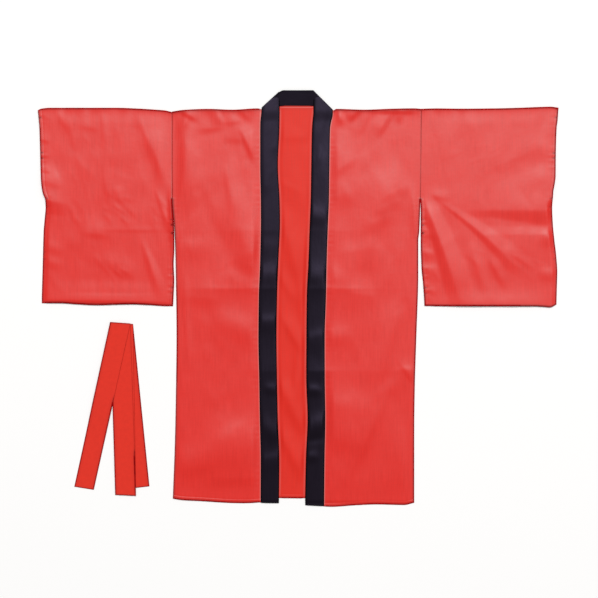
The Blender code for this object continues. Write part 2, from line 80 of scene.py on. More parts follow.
SHOULDER_Y = 472.0
BODY_HEM_Y = -510.0
FOOT_Y = -505.0  # the height at which the lower ends of the panels are measured
UNDERARM_Y = 250.0  # above it the sleeve is sewn to the body and its wrist is open; below, the reverse


class Side(Enum):
    """The wearer's sides, with the sign of X on each."""

    RIGHT = -1
    LEFT = 1


class Rim(Enum):
    """Kinds of edge, with how dark the painted shade along each looks from above."""

    HEMMED = 1.0
    TURNED = 0.9
    SEAMED = 0.5
    SELVEDGE_AND_HIGHLIGHT = -0.55  # pale instead: a selvedge below the neck's band, and painted highlights along the collar's seam and beside the bands


# ---- Curves and shapes that the pieces share


def smooth_step(value: Array, start: float, end: float) -> Array:
    """Rises from 0 at start to 1 at end with no corner at either."""
    t = np.clip((value - start) / (end - start), 0, 1)
    return t * t * (3 - 2 * t)


def near(distance: Array, reach: float) -> Array:
    """1 at no distance, and a bell curve down to nothing over about twice this reach."""
    return np.exp(-((distance / reach) ** 2))


def quarter_round(distance: Array, radius: float) -> Array:
    """Height of a quarter circle, 0 at its foot and 1 from a radius in."""
    inward = np.clip(distance / radius, 0, 1)
    return np.sqrt(np.clip(1 - (1 - inward) ** 2, 0, 1))


def roll(distance: Array, rise: float, reach: float) -> Array:
    """The springy roll of satin just inside a fold that nobody pressed."""
    return rise * np.exp(-np.abs(distance) / reach)


def uneven_wave(along: Array, pitch: float, phase: float) -> Array:
    """A wave of about this pitch whose crests differ in height and spacing, from -1 to 1.

    Args:
        along: Positions along it.
        pitch: Its usual length.
        phase: Where it starts.

    Returns:
        Its values there.
    """
    turn = 2 * math.pi * along / pitch
    main = np.sin(turn + phase + 0.9 * np.sin(0.23 * turn + 2 * phase))
    short = 0.55 * np.sin(1.67 * turn + 1.7 * phase + 0.8 * np.sin(0.31 * turn))
    return (main + short) * (0.55 + 0.45 * np.sin(0.137 * turn + 3 * phase)) / 1.55


def unit(vector: Array) -> Array:
    """Vectors scaled to length 1."""
    return vector / np.maximum(np.linalg.norm(vector, axis=-1, keepdims=True), 1e-12)


def run_of(points: Array) -> Array:
    """Length along a line of points [n, xyz], from 0 at its first one."""
    return np.concatenate([[0], np.cumsum(np.linalg.norm(np.diff(points, axis=0), axis=-1))])


@dataclass(frozen=True)
class Edge:
    """A cut edge: a smooth curve through a few stations, which never swings past them."""

    station: tuple[float, ...]
    offset: tuple[float, ...]

    def at(self, where: Array | float) -> Array:
        """Offset of the edge at these stations.

        Args:
            where: Positions along the edge's own axis.

        Returns:
            The edge's positions across that axis.
        """
        order = np.argsort(self.station)
        station = np.array(self.station)[order]
        offset = np.array(self.offset)[order]
        step = np.diff(station)
        slope = np.diff(offset) / step
        agree = slope[:-1] * slope[1:] > 0
        total = np.where(agree, slope[:-1] + slope[1:], 1.0)
        inner = np.where(agree, 2 * slope[:-1] * slope[1:] / total, 0.0)
        tangent = np.concatenate([slope[:1], inner, slope[-1:]])
        inside = np.clip(where, station[0], station[-1])
        k = np.clip(np.searchsorted(station, inside) - 1, 0, len(step) - 1)
        t = (inside - station[k]) / step[k]
        rise = t * t * (3 - 2 * t)
        bend = t * (1 - t) * step[k] * ((1 - t) * tangent[k] - t * tangent[k + 1])
        return offset[k] * (1 - rise) + offset[k + 1] * rise + bend


Edges = tuple[Edge, Edge]


@dataclass(frozen=True)
class Fold:
    """A listed crease: a ridge from start to end, or a trough if its rise is below 0.

    Across, it is a soft bell, or a roof with even flanks if it is crisp. It has its own half-width
    on each side of its run and can bow sideways in the middle. Both ends fade away slowly, and a
    tapered one starts low and narrow and fans out.
    """

    start: Point
    end: Point
    rise: float
    right: float
    left: float
    bow: float = 0.0
    taper: float = 0.0  # share of its height and width that it lacks at its start
    crisp: bool = False

    def height(self, x: Array, y: Array) -> Array:
        """Height that the crease adds at these places across and up the coat.

        Args:
            x: Positions across the coat.
            y: Positions up the coat.

        Returns:
            Heights.
        """
        run = np.subtract(self.end, self.start)
        length = float(np.hypot(*run))
        along = ((x - self.start[0]) * run[0] + (y - self.start[1]) * run[1]) / length
        aside = ((x - self.start[0]) * run[1] - (y - self.start[1]) * run[0]) / length
        share = np.clip(along / length, 0, 1)
        aside = aside - self.bow * 4 * share * (1 - share)
        grown = 1 - self.taper * (1 - share)
        away = aside / (np.where(aside > 0, self.right, self.left) * grown)
        reach = length / 2 + 1.2 * min(self.right, self.left)
        ends = 1.2 * np.abs((along - length / 2) / reach) ** 3
        eave = 1.14 - np.sqrt(away**2 + 0.02)
        across = 0.5 * (eave + np.sqrt(eave**2 + 0.03)) if self.crisp else near(away, 1.0)
        return self.rise * grown * across * np.exp(-ends)


Folds = tuple[Fold, ...]


def crease_about(place: Array, turn: float, half: float, *form: float) -> Fold:
    """A crease by its middle, its direction in radians and half its length, then its rise and widths."""
    reach = np.array([math.cos(turn), math.sin(turn)]) * half
    return Fold(tuple(place - reach), tuple(place + reach), *form)


def crumple(middle: Point, size: Point, heading: float, count: int, rise: float, seed: int) -> Folds:
    """A patch of short sharp creases that run roughly one way, as crushed satin shows.

    Args:
        middle: Middle of the patch.
        size: Its half-width and half-height.
        heading: Direction of the creases, in degrees from +X.
        count: How many there are.
        rise: Height of the tallest.
        seed: Picks their places, lengths and heights.

    Returns:
        The creases.
    """
    chance = np.random.default_rng(seed)
    creases = []
    for _ in range(count):
        place = np.array(middle) + chance.normal(0.0, 0.5, 2) * size
        turn = math.radians(heading + chance.normal(0.0, 13.0))
        half = chance.uniform(6.0, 19.0)
        height = rise * chance.uniform(0.35, 1.0)
        widths = (chance.uniform(2.6, 4.5), chance.uniform(5, 11))
        creases.append(crease_about(place, turn, half, height, *widths))
    return tuple(creases)


def unrest(low: Point, high: Point, heading: float, count: int, rise: float, seed: int) -> Folds:
    """Soft, shallow creases spread over a panel, as satin keeps wherever it lies loose.

    Args:
        low: The panel's lowest corner.
        high: Its highest corner.
        heading: Direction that the creases tend to, in degrees from +X.
        count: How many there are.
        rise: Height of the tallest.
        seed: Picks their places, lengths, widths and heights.

    Returns:
        The creases.
    """
    chance = np.random.default_rng(seed)
    creases = []
    for _ in range(count):
        place = chance.uniform(low, high)
        turn = math.radians(heading + chance.normal(0.0, 24.0))
        half = chance.uniform(8.0, 38.0)
        height = rise * chance.uniform(0.3, 1.0) * chance.choice((-1.0, 1.0))
        creases.append(crease_about(place, turn, half, height, *chance.uniform(8.0, 22.0, 2)))
    return tuple(creases)


@dataclass(frozen=True)
class PacketCrease:
    """A crease that the coat kept from being folded flat in its packet, straight across it."""

    y: float
    rise: float
    above: float  # how far the cloth hangs down from it on its upper side
    below: float
    strength: Edge  # share of its height at an x
    crown: float = 2.0  # half-width of its rounded top

    def height(self, x: Array, y: Array) -> Array:
        """Height that the crease adds at these places.

        Args:
            x: Positions across the coat.
            y: Positions up the coat.

        Returns:
            Heights.
        """
        away = np.sqrt((y - self.y) ** 2 + self.crown**2) - self.crown
        reach = np.where(y > self.y, self.above, self.below)
        return self.rise * self.strength.at(x) * np.exp(-away / reach)


PACKET_CREASES = (
    PacketCrease(
        168.6, 1.0, 30.0, 26.0,
        Edge((-310, -120, -90, -50, 30, 80, 120, 300), (0.15, 0.3, 0.7, 0.7, 0.5, 0.5, 0.3, 0.15)),
    ),
    PacketCrease(
        24.0, 2.6, 44.0, 34.0,
        Edge((-310, -270, -230, -170, 120, 180, 230, 300), (0.1, 0.2, 0.6, 1.0, 0.95, 0.4, 0.12, 0.1)),
    ),
    PacketCrease(
        -182.0, 2.2, 36.0, 34.0,
        Edge((-310, -120, -90, -50, 20, 70, 100, 230, 300), (0.05, 0.1, 0.6, 0.6, 1.0, 1.0, 0.3, 0.2, 0.35)),
    ),
)


def packet_lift(x: Array, y: Array) -> Array:
    """Height of all the packet creases together."""
    return sum(crease.height(x, y) for crease in PACKET_CREASES)


@dataclass(frozen=True)
class Gathers:
    """Small puckers that a tight row of stitches draws up along an edge."""

    pitch: float = 15.0
    rise: float = 0.22
    row: float = HEM_DEPTH  # how far in from the edge the stitches lie
    reach: float = 9.0  # how far either side of them the puckers die away
    phase: float = 0.0
    darkest: float = 1.1  # painted shade, as a rim value, at the bottom of the deepest pucker

    def height(self, along: Array, inward: Array) -> Array:
        """Height of the puckers and of the hem's own step, along the edge and in from it.

        Args:
            along: Positions along the edge.
            inward: Distances in from it.

        Returns:
            Heights.
        """
        drawn = self.rise * uneven_wave(along, self.pitch, self.phase) * near(inward - self.row, self.reach)
        groove = -0.3 * near(inward - self.row, 1.1)
        turned_up = 0.28 * (1 - smooth_step(inward, self.row - 0.8, self.row + 1.2))
        return drawn + groove + turned_up

    def shade(self, along: Array, inward: Array) -> Array:
        """Painted shade, as a rim value, in the bottoms of the puckers between the stitches and the edge."""
        low = smooth_step(-uneven_wave(along, self.pitch, self.phase), 0.25, 0.8)
        return self.darkest * low * near(inward - 0.4 * self.row, 0.42 * self.row)


@dataclass(frozen=True)
class Relief:
    """Everything that lifts an upper layer off the one below it."""

    folds: Folds
    puff: float
    sway: float = 0.3  # of the slow unevenness that satin always keeps
    phase: float = 0.0

    def height(self, x: Array, y: Array, slack: Array | float) -> Array:
        """Height of the creases, the slow sway and the puff between them, kept above zero.

        Args:
            x: Positions across the coat.
            y: Positions up the coat.
            slack: Share of the puff at each place, less near a seam.

        Returns:
            Heights from 0 to the highest lift.
        """
        total = self.puff * slack
        for fold in self.folds:
            total = total + fold.height(x, y)
        waves = (
            uneven_wave(0.98 * x + 0.2 * y, 118.0, self.phase),
            0.8 * uneven_wave(0.35 * x - 0.94 * y, 143.0, self.phase + 1.1),
            0.6 * uneven_wave(0.99 * x - 0.12 * y, 57.0, self.phase + 2.3),
            0.15 * uneven_wave(0.97 * x + 0.25 * y, 27.0, self.phase + 0.7),
        )
        total = total + self.sway * sum(waves)
        above = 0.5 * (total + np.sqrt(total**2 + 0.4))
        return HIGHEST_LIFT * np.tanh(above / HIGHEST_LIFT)


def stations(length: float, step: float, start: list[float], end: list[float]) -> Array:
    """Shares of a length, even but for finer marks by its two ends.

    Args:
        length: The whole length.
        step: The even spacing.
        start: Distances of the finer marks from the start.
        end: Distances of the finer marks from the end.

    Returns:
        Shares that rise from 0 to 1.
    """
    marks = np.array([*start, *(length - m for m in end)])
    even = np.linspace(0, length, max(2, round(length / step)) + 1)
    clear = [e for e in even if np.min(np.abs(marks - e)) > 0.4 * step]
    return np.sort(np.concatenate([clear, marks])) / length


def spread_plan(sides: Edges, ends: Edges, across: Array, down: Array, span: Point) -> Array:
    """Plan of a panel that fills its four edges evenly.

    Args:
        sides: Edges at the start and the end of each row, x at a y.
        ends: Edges above and below, y at an x.
        across: Shares across each row.
        down: Shares down each column.
        span: Nominal heights of the top and of the bottom.

    Returns:
        Positions x[i, j] and y[i, j], i across and j down.
    """
    u, v = np.meshgrid(across, down, indexing="ij")
    y = span[0] * (1 - v) + span[1] * v
    for _ in range(3):
        x = sides[0].at(y) * (1 - u) + sides[1].at(y) * u
        y = ends[0].at(x) * (1 - v) + ends[1].at(x) * v
    return np.stack([x, y])


# ---- Cloth as a mesh


@dataclass(frozen=True)
class Dressing:
    """The materials of one cloth, and the thread that it is sewn with."""

    face: Material
    reverse: Material
    edge: Material  # of its edges: matt, and dark with painted shade
    thread: Material | None = None


@dataclass
class Cloth:
    """A sheet of cloth, as the middle surface of its thickness on a grid.

    centre holds places [i, j, xyz], thread the place in the weave [i, j, across and along], and
    rim the painted shade at each point, mostly near an edge: 1 is darkest, and below 0 the
    colour is paler, for a selvedge and for painted highlights.
    The cloth's right side is on the side of the grid's normals, or on the other one if turned is set.
    """

    centre: Array
    thread: Array
    rim: Array
    thickness: float = SATIN_THICKNESS
    turned: bool = False

    def boundary(self) -> tuple[Array, Array]:
        """Grid indices [n, 2] of the outline once round, and of each one's neighbour further in.

        Returns:
            The outline's indices, and the inner neighbours'.
        """
        rows, columns = self.centre.shape[0] - 1, self.centre.shape[1] - 1
        loop = [(i, 0) for i in range(rows)]
        loop += [(rows, j) for j in range(columns)]
        loop += [(i, columns) for i in range(rows, 0, -1)]
        loop += [(0, j) for j in range(columns, 0, -1)]
        outline = np.array(loop)
        return outline, np.clip(outline, 1, [rows - 1, columns - 1])

    def object(self, name: str, dressing: Dressing) -> bpy.types.Object:
        """Closed shell of the cloth with half-round edges.

        Args:
            name: The piece's name.
            dressing: Its materials.

        Returns:
            The new object, riding on the coat's body.
        """
        rows, columns = self.centre.shape[:2]
        normal = unit(np.cross(np.gradient(self.centre, axis=0), np.gradient(self.centre, axis=1)))
        half = self.thickness / 2
        outline, inner = self.boundary()
        at, at_inner = tuple(outline.T), tuple(inner.T)
        outward = self.centre[at] - self.centre[at_inner]
        outward -= np.sum(outward * normal[at], axis=-1, keepdims=True) * normal[at]
        sides = [(self.centre + normal * half).reshape(-1, 3), (self.centre - normal * half).reshape(-1, 3)]
        points = np.concatenate([*sides, self.centre[at] + unit(outward) * half])
        front = np.arange(rows * columns).reshape(rows, columns)
        back = front + rows * columns
        middle = 2 * rows * columns + np.arange(len(outline))
        after = np.roll(np.arange(len(outline)), -1)
        front_rim, back_rim = front[at], back[at]
        corners = (front[:-1, :-1], front[1:, :-1], front[1:, 1:], front[:-1, 1:])
        cells = np.stack(corners, axis=-1).reshape(-1, 4)
        faces = [
            cells,
            back.ravel()[cells[:, ::-1]],
            np.stack([front_rim[after], front_rim, middle, middle[after]], axis=-1),
            np.stack([middle[after], middle, back_rim, back_rim[after]], axis=-1),
        ]
        thread, rim = self.thread.reshape(-1, 2), self.rim.ravel()
        woven = np.concatenate([thread, thread, self.thread[at]]) * MM
        rims = np.concatenate([rim, rim, self.rim[at]])
        made = make_object(name, points * MM, np.concatenate(faces), woven, rims)
        finish = np.full(len(made.data.polygons), 2, np.int32)
        shown, hidden = (1, 0) if self.turned else (0, 1)
        # Faces whose rim passes EDGE_SHARE take the edge's material, dark with painted shade.
        plain = np.min(rim[cells], axis=1) <= EDGE_SHARE
        finish[: 2 * len(cells)] = np.concatenate([np.where(plain, side, 2) for side in (shown, hidden)])
        for material in (dressing.face, dressing.reverse, dressing.edge):
            made.data.materials.append(material)
        made.data.polygons.foreach_set("material_index", finish)
        return made


def make_object(name: str, points: Array, faces: Array, thread: Array, rim: Array) -> bpy.types.Object:
    """A smooth-shaded mesh object with a thread map and a rim attribute.

    Args:
        name: The piece's name.
        points: Vertices [n, 3] in metres.
        faces: Four-sided faces [m, 4].
        thread: Place in the weave of each vertex, [n, 2] in metres.
        rim: Painted shade at each vertex, mostly near an edge; below 0 it is paler.

    Returns:
        The object, linked to the scene and riding on the coat's body.
    """
    mesh = bpy.data.meshes.new(name)
    mesh.vertices.add(len(points))
    mesh.vertices.foreach_set("co", points.astype(np.float32).ravel())
    mesh.loops.add(faces.size)
    mesh.loops.foreach_set("vertex_index", faces.astype(np.int32).ravel())
    mesh.polygons.add(len(faces))
    mesh.polygons.foreach_set("loop_start", np.arange(0, faces.size, 4, dtype=np.int32))
    mesh.update(calc_edges=True)
    layer = mesh.uv_layers.new(name="thread")
    layer.data.foreach_set("uv", thread[faces.ravel()].astype(np.float32).ravel())
    attribute = mesh.attributes.new("rim", "FLOAT", "POINT")
    attribute.data.foreach_set("value", rim.astype(np.float32))
    mesh.validate()
    mesh.shade_smooth()
    made = bpy.data.objects.new(name, mesh)
    bpy.context.scene.collection.objects.link(made)
    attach(made, BODY)
    return made


# ---- Finishes


def linear(code: str) -> tuple[float, float, float, float]:
    """Linear colour of an sRGB hex code such as #e13a2c.

    Args:
        code: The hex code.

    Returns:
        Red, green, blue and alpha.
    """
    values = [int(code[k : k + 2], 16) / 255 for k in (1, 3, 5)]
    turned = [v / 12.92 if v <= 0.04045 else ((v + 0.055) / 1.055) ** 2.4 for v in values]
    return (*turned, 1.0)


def feed(material: Material, node: bpy.types.Node, settings: dict, links: dict) -> None:
    """Sets a node and joins what feeds it.

    Args:
        material: The material whose tree it is in.
        node: The node.
        settings: Values of its properties by name, or of its sockets by name or number.
        links: What feeds its sockets, by socket name or number.
    """
    for key, value in settings.items():
        if isinstance(key, str) and hasattr(node, key):
            setattr(node, key, value)
        else:
            node.inputs[key].default_value = value
    for key, source in links.items():
        material.node_tree.links.new(source, node.inputs[key])


def add_node(
    material: Material, kind: str, settings: dict | None = None, links: dict | None = None
) -> bpy.types.Node:
    """Adds one node of a kind to a material.

    Args:
        material: The material.
        kind: The node's type.
        settings: Its settings, as feed takes them.
        links: What feeds it, as feed takes it.

    Returns:
        The node.
    """
    node = material.node_tree.nodes.new(kind)
    feed(material, node, settings or {}, links or {})
    return node


def new_material(name: str) -> tuple[Material, bpy.types.Node]:
    """An empty node material and its shader, already joined to the output.

    Args:
        name: Its name.

    Returns:
        The material and its shader node.
    """
    material = bpy.data.materials.new(name)
    material.use_nodes = True
    material.node_tree.nodes.clear()
    shader = add_node(material, "ShaderNodeBsdfPrincipled")
    add_node(material, "ShaderNodeOutputMaterial", links={"Surface": shader.outputs["BSDF"]})
    return material, shader


def mottled(material: Material, colour: str, noise: Socket, seen: Point, tone: Point) -> Socket:
    """A colour that a noise makes lighter and darker.

    Args:
        material: The material that gets the nodes.
        colour: The plain colour's hex code.
        noise: The noise.
        seen: Range of the noise that counts.
        tone: What the colour is multiplied by at the two ends of that range.

    Returns:
        The colour's socket.
    """
    span = {"From Min": seen[0], "From Max": seen[1], "To Min": tone[0], "To Max": tone[1]}
    depth = add_node(material, "ShaderNodeMapRange", span, {"Value": noise})
    plain = {"operation": "SCALE", 0: linear(colour)[:3]}
    return add_node(material, "ShaderNodeVectorMath", plain, {"Scale": depth.outputs[0]}).outputs[0]


@dataclass(frozen=True)
class Satin:
    """Polyester satin, woven with long warp floats and calendered.

    The floats lie side by side up the coat like brushed wire, so a highlight is drawn out across
    them, and every tilt of the cloth towards the light shows as a broad pale glow.
    """

    name: str
    colour: str
    # Colour of the painted shade at edges, in puckers and under the neck's band.
    painted_shade_colour: str
    roughness: float
    anisotropy: float
    specular: float
    tint: str
    # Pale colour of a selvedge and of the painted highlights along the collar's seam and beside the bands.
    selvedge_and_highlight_colour: str = "#d8908c"
    # Widths across and lengths up the coat. The floats are about 0.1 mm apart and the thicker weft
    # yarns 0.3 mm, too fine to show: both are drawn as streaks this large.
    float_size: Point = (2.4, 60.0)
    weft_size: Point = (45.0, 3.0)
    ripple_size: Point = (38.0, 52.0)  # of the slow unevenness that the calender leaves

    def streaks(self, material: Material, thread: Socket, size: Point) -> Socket:
        """Noise drawn out to streaks of this width and length, over the place in the weave.

        Args:
            material: The material that gets the nodes.
            thread: The place in the weave, in metres.
            size: Width and length of a streak, in millimetres.

        Returns:
            The noise.
        """
        scale = {"operation": "MULTIPLY", 1: (1 / (size[0] * MM), 1 / (size[1] * MM), 1.0)}
        placed = add_node(material, "ShaderNodeVectorMath", scale, {0: thread})
        grain = {"Scale": 1.0, "Detail": 3.0, "Roughness": 0.6}
        return add_node(material, "ShaderNodeTexNoise", grain, {"Vector": placed.outputs[0]}).outputs[0]

    def material(self) -> Material:
        """The material: streaked by its floats, darkened by painted shade at edges, in puckers and under the
        neck's band, and paler at a selvedge and with painted highlights.

        Returns:
            The material.
        """
        material, shader = new_material(self.name)
        thread = add_node(material, "ShaderNodeUVMap", {"uv_map": "thread"}).outputs[0]
        floats = self.streaks(material, thread, self.float_size)
        wefts = self.streaks(material, thread, self.weft_size)
        ripples = self.streaks(material, thread, self.ripple_size)
        joined = {"operation": "MULTIPLY_ADD", 1: 0.35}
        woven = add_node(material, "ShaderNodeMath", joined, {0: wefts, 2: floats}).outputs[0]
        colour = mottled(material, self.colour, woven, (0.45, 0.9), (0.93, 1.07))
        # The rim attribute mixes in the painted shade's colour, and below 0 the pale colour of a selvedge and
        # of painted highlights.
        rim = add_node(material, "ShaderNodeAttribute", {"attribute_name": "rim"}).outputs["Fac"]
        darker = {"data_type": "RGBA", 7: linear(self.painted_shade_colour)}
        edged = add_node(material, "ShaderNodeMix", darker, {0: rim, 6: colour}).outputs[2]
        pale = add_node(material, "ShaderNodeMath", {"operation": "MULTIPLY", 1: -1.0}, {0: rim}).outputs[0]
        paler = {"data_type": "RGBA", 7: linear(self.selvedge_and_highlight_colour)}
        lined = add_node(material, "ShaderNodeMix", paler, {0: pale, 6: edged}).outputs[2]
        low, high = self.roughness - 0.03, self.roughness + 0.03
        span = {"From Min": 0.3, "From Max": 0.7, "To Min": low, "To Max": high}
        rough = add_node(material, "ShaderNodeMapRange", span, {"Value": floats}).outputs[0]
        fine = {"Strength": 0.35, "Distance": 0.06 * MM}
        bump = add_node(material, "ShaderNodeBump", fine, {"Height": woven}).outputs[0]
        slow = {"Strength": 0.35, "Distance": 0.9 * MM}
        ripple = add_node(material, "ShaderNodeBump", slow, {"Height": ripples, "Normal": bump}).outputs[0]
        along = {"direction_type": "UV_MAP", "uv_map": "thread"}
        tangent = add_node(material, "ShaderNodeTangent", along).outputs[0]
        gloss = {
            "Anisotropic": self.anisotropy,
            "Specular IOR Level": self.specular,
            "Specular Tint": linear(self.tint),
        }
        links = {"Base Color": lined, "Roughness": rough, "Normal": ripple, "Tangent": tangent}
        feed(material, shader, gloss, links)
        return material


@dataclass(frozen=True)
class PlainWeave:
    """Polyester broadcloth in a plain weave, dyed and pressed: even, matt and barely textured."""

    name: str
    colour: str
    # Colour of the painted shade along the belt's edges and turns.
    painted_shade_colour: str
    roughness: float = 0.82
    # The yarns are 0.25 mm apart, too fine to show: drawn this far apart.
    yarn_pitch: float = 1.5

    def material(self) -> Material:
        """The material with its crossing yarns and painted shade along its edges.

        Returns:
            The material.
        """
        material, shader = new_material(self.name)
        thread = add_node(material, "ShaderNodeUVMap", {"uv_map": "thread"}).outputs[0]
        turn = 2 * math.pi / (self.yarn_pitch * MM)
        phase = {"operation": "MULTIPLY", 1: (turn, turn, 0)}
        angle = add_node(material, "ShaderNodeVectorMath", phase, {0: thread}).outputs[0]
        waves = add_node(material, "ShaderNodeVectorMath", {"operation": "SINE"}, {0: angle}).outputs[0]
        warp, weft, _ = add_node(material, "ShaderNodeSeparateXYZ", links={0: waves}).outputs
        weave = add_node(material, "ShaderNodeMath", {"operation": "MULTIPLY"}, {0: warp, 1: weft}).outputs[0]
        grain = {"Scale": 90.0, "Detail": 4.0, "Roughness": 0.7}  # dyed unevenly, in patches of 11 mm
        noise = add_node(material, "ShaderNodeTexNoise", grain, {"Vector": thread}).outputs[0]
        colour = mottled(material, self.colour, noise, (0.3, 0.7), (0.95, 1.05))
        # The rim attribute mixes in the painted shade's colour along the edges.
        rim = add_node(material, "ShaderNodeAttribute", {"attribute_name": "rim"}).outputs["Fac"]
        darker = {"data_type": "RGBA", 7: linear(self.painted_shade_colour)}
        edged = add_node(material, "ShaderNodeMix", darker, {0: rim, 6: colour}).outputs[2]
        fine = {"Strength": 0.4, "Distance": 0.12 * MM}
        bump = add_node(material, "ShaderNodeBump", fine, {"Height": weave}).outputs[0]
        matt = {"Roughness": self.roughness, "Specular IOR Level": 0.3}
        feed(material, shader, matt, {"Base Color": edged, "Normal": bump})
        return material


@dataclass(frozen=True)
class BareYarn:
    """Dyed polyester yarn seen close, its tone a little uneven from place to place."""

    name: str
    colour: str
    roughness: float
    specular: float
    grain: float  # patches of tone in a metre, each a few millimetres wide
    detail: float
    tone: Point  # how dark and how light they are

    def material(self) -> Material:
        """The material with its patches of tone.

        Returns:
            The material.
        """
        material, shader = new_material(self.name)
        place = add_node(material, "ShaderNodeTexCoord").outputs["Object"]
        patches = {"Scale": self.grain, "Detail": self.detail}
        noise = add_node(material, "ShaderNodeTexNoise", patches, {"Vector": place}).outputs[0]
        colour = mottled(material, self.colour, noise, (0.3, 0.7), self.tone)
        matt = {"Roughness": self.roughness, "Specular IOR Level": self.specular}
        feed(material, shader, matt, {"Base Color": colour})
        return material


@dataclass(frozen=True)
class PaintedShadeEdge(BareYarn):
    """Satin or broadcloth along an edge: matt, and dark with painted shade for the shade that edges and seams
    lie in.
    """

    roughness: float = 0.95
    specular: float = 0.05
    grain: float = 70.0
    detail: float = 2.0
    tone: Point = (0.75, 1.2)


@dataclass(frozen=True)
class SewingThread(BareYarn):
    """Spun polyester sewing thread: a little fuzzy, so it has no clear highlight."""

    roughness: float = 0.65
    specular: float = 0.5
    grain: float = 240.0
    detail: float = 1.0
    tone: Point = (0.85, 1.1)


@dataclass(frozen=True)
class StudioPaper:
    """Seamless white background paper, matt, with a faint tooth."""

    name: str = "white_background_paper"
    colour: str = "#f9f8f7"
    roughness: float = 0.9

    def material(self) -> Material:
        """The material with its faint tooth.

        Returns:
            The material.
        """
        material, shader = new_material(self.name)
        place = add_node(material, "ShaderNodeTexCoord").outputs["Object"]
        tooth = {"Scale": 400.0, "Detail": 2.0}  # fibres under 1 mm, drawn 2.5 mm wide to show
        noise = add_node(material, "ShaderNodeTexNoise", tooth, {"Vector": place}).outputs[0]
        fine = {"Strength": 0.1, "Distance": 0.1 * MM}
        bump = add_node(material, "ShaderNodeBump", fine, {"Height": noise}).outputs[0]
        matt = {"Base Color": linear(self.colour), "Roughness": self.roughness, "Specular IOR Level": 0.2}
        feed(material, shader, matt, {"Normal": bump})
        return material


# The right side glows pale pink at a low tilt; the reverse, with its short floats, stays deep red.
RED_SATIN = Satin("red_polyester_satin", "#dd1e13", "#6a0f0e", 0.40, 0.15, 0.66, "#a8f8f6")
RED_REVERSE = Satin("red_polyester_satin_reverse", "#db2012", "#6a0f0e", 0.60, 0.0, 0.38, "#b4f9ec")
# Dark red painted shade for the red cloth's edges and seams.
RED_EDGE = PaintedShadeEdge("red_edge_painted_shade", "#960a0c")
RED_THREAD = SewingThread("red_sewing_thread", "#cf4038")
# Nearly black, with a blue cast where it catches the light.
BLACK_SATIN = Satin("black_polyester_satin", "#0d070c", "#030202", 0.38, 0.15, 0.25, "#decdff")
# Near-black painted shade for the collar's edges.
BLACK_EDGE = PaintedShadeEdge("black_edge_painted_shade", "#050304")
# A warmer red than the satin, with no sheen at all.
RED_BROADCLOTH = PlainWeave("red_polyester_broadcloth", "#db2e1d", "#7c1210")


# ---- Stitching


@dataclass(frozen=True)
class StitchRow:
    """A row of lockstitches along a line on the cloth."""

    path: Array  # places [n, 3] along it
    pitch: float = 4.6
    length: float = 3.2
    width: float = 0.55
    sides: int = 5
    # Rings along a stitch: share of its length, and of its width.
    rings: tuple[Point, ...] = ((0.0, 0.25), (0.2, 0.9), (0.5, 1.0), (0.8, 0.9), (1.0, 0.25))
    sag: float = 0.12  # how far its two ends dip into the cloth
    flatness: float = 0.6  # its height as a share of its width

    def mesh(self) -> tuple[Array, Array]:
        """Vertices [n, 3] in millimetres and four-sided faces [m, 4] of all the row's stitches.

        Returns:
            Vertices and faces.
        """
        run = run_of(self.path)
        points, faces = [], []
        for start in np.arange(0.5 * self.pitch, run[-1] - self.length, self.pitch):
            ends = (start, start + self.length)
            first, last = (np.array([np.interp(s, run, self.path[:, k]) for k in range(3)]) for s in ends)
            ahead = (last - first) / np.linalg.norm(last - first)
            aside = np.cross(ahead, (0, 0, 1.0))
            aside /= np.linalg.norm(aside)
            up = np.cross(aside, ahead)
            base = len(points)
            for share, size in self.rings:
                centre = first + (last - first) * share - up * self.sag * (1 - size)
                for k in range(self.sides):
                    turn = 2 * math.pi * k / self.sides
                    ring = aside * math.cos(turn) + up * self.flatness * math.sin(turn)
                    points.append(centre + ring * size * self.width / 2)
            for ring in range(len(self.rings) - 1):
                for k in range(self.sides):
                    a = base + ring * self.sides + k
                    b = base + ring * self.sides + (k + 1) % self.sides
                    faces.append((a, b, b + self.sides, a + self.sides))
        return np.array(points), np.array(faces)


def sew(name: str, paths: list[Array], thread: Material) -> bpy.types.Object:
    """One object with a row of stitches along each path.

    Args:
        name: The piece's name.
        paths: Lines on the cloth, each [n, 3] in millimetres.
        thread: The thread's material.

    Returns:
        The object, riding on the coat's body.
    """
    points, faces, count = [], [], 0
    for path in paths:
        row_points, row_faces = StitchRow(path).mesh()
        points.append(row_points)
        faces.append(row_faces + count)
        count += len(row_points)
    every = np.concatenate(points)
    made = make_object(name, every * MM, np.concatenate(faces), every[:, :2] * MM, np.zeros(len(every)))
    made.data.materials.append(thread)
    return made


# ---- The coat's outline

RIGHT_SIDE = Edge(
    station=(472, 250, 165, 105, -95, -250, -355, -500),
    offset=(-314.5, -314.5, -308.5, -306.3, -303.5, -305.3, -307.5, -312.8),
)
LEFT_SIDE = Edge(
    station=(472, 250, 165, 145, 65, -104, -215, -335, -510),
    offset=(307.8, 305.4, 302.3, 300.0, 300.0, 295.0, 291.5, 290.0, 290.0),
)
SHOULDER = Edge(
    station=(-314.5, -285, -225, -165, -100, -92, 88, 95, 165, 235, 290, 308),
    offset=(466.5, 470.6, 473, 471, 474.3, 472.4, 469, 473, 471, 473.4, 474.4, 473),
)
BACK_TOP = Edge(  # the shoulders, with the back neckline between them
    station=(*SHOULDER.station[:6], -52, -36, 26, 43, *SHOULDER.station[6:]),
    offset=(*SHOULDER.offset[:6], 484.0, 490.0, 490.0, 484.0, *SHOULDER.offset[6:]),
)
BACK_HEM = Edge(station=(-313, -50, 290), offset=(-498.5, -499.5, -502.0))
FRONT_RIGHT_HEM = Edge(
    station=(-313, -285, -245, -165, -135, -83),
    offset=(-500.5, -504.5, -506.5, -511.5, -512, -509.5),
)
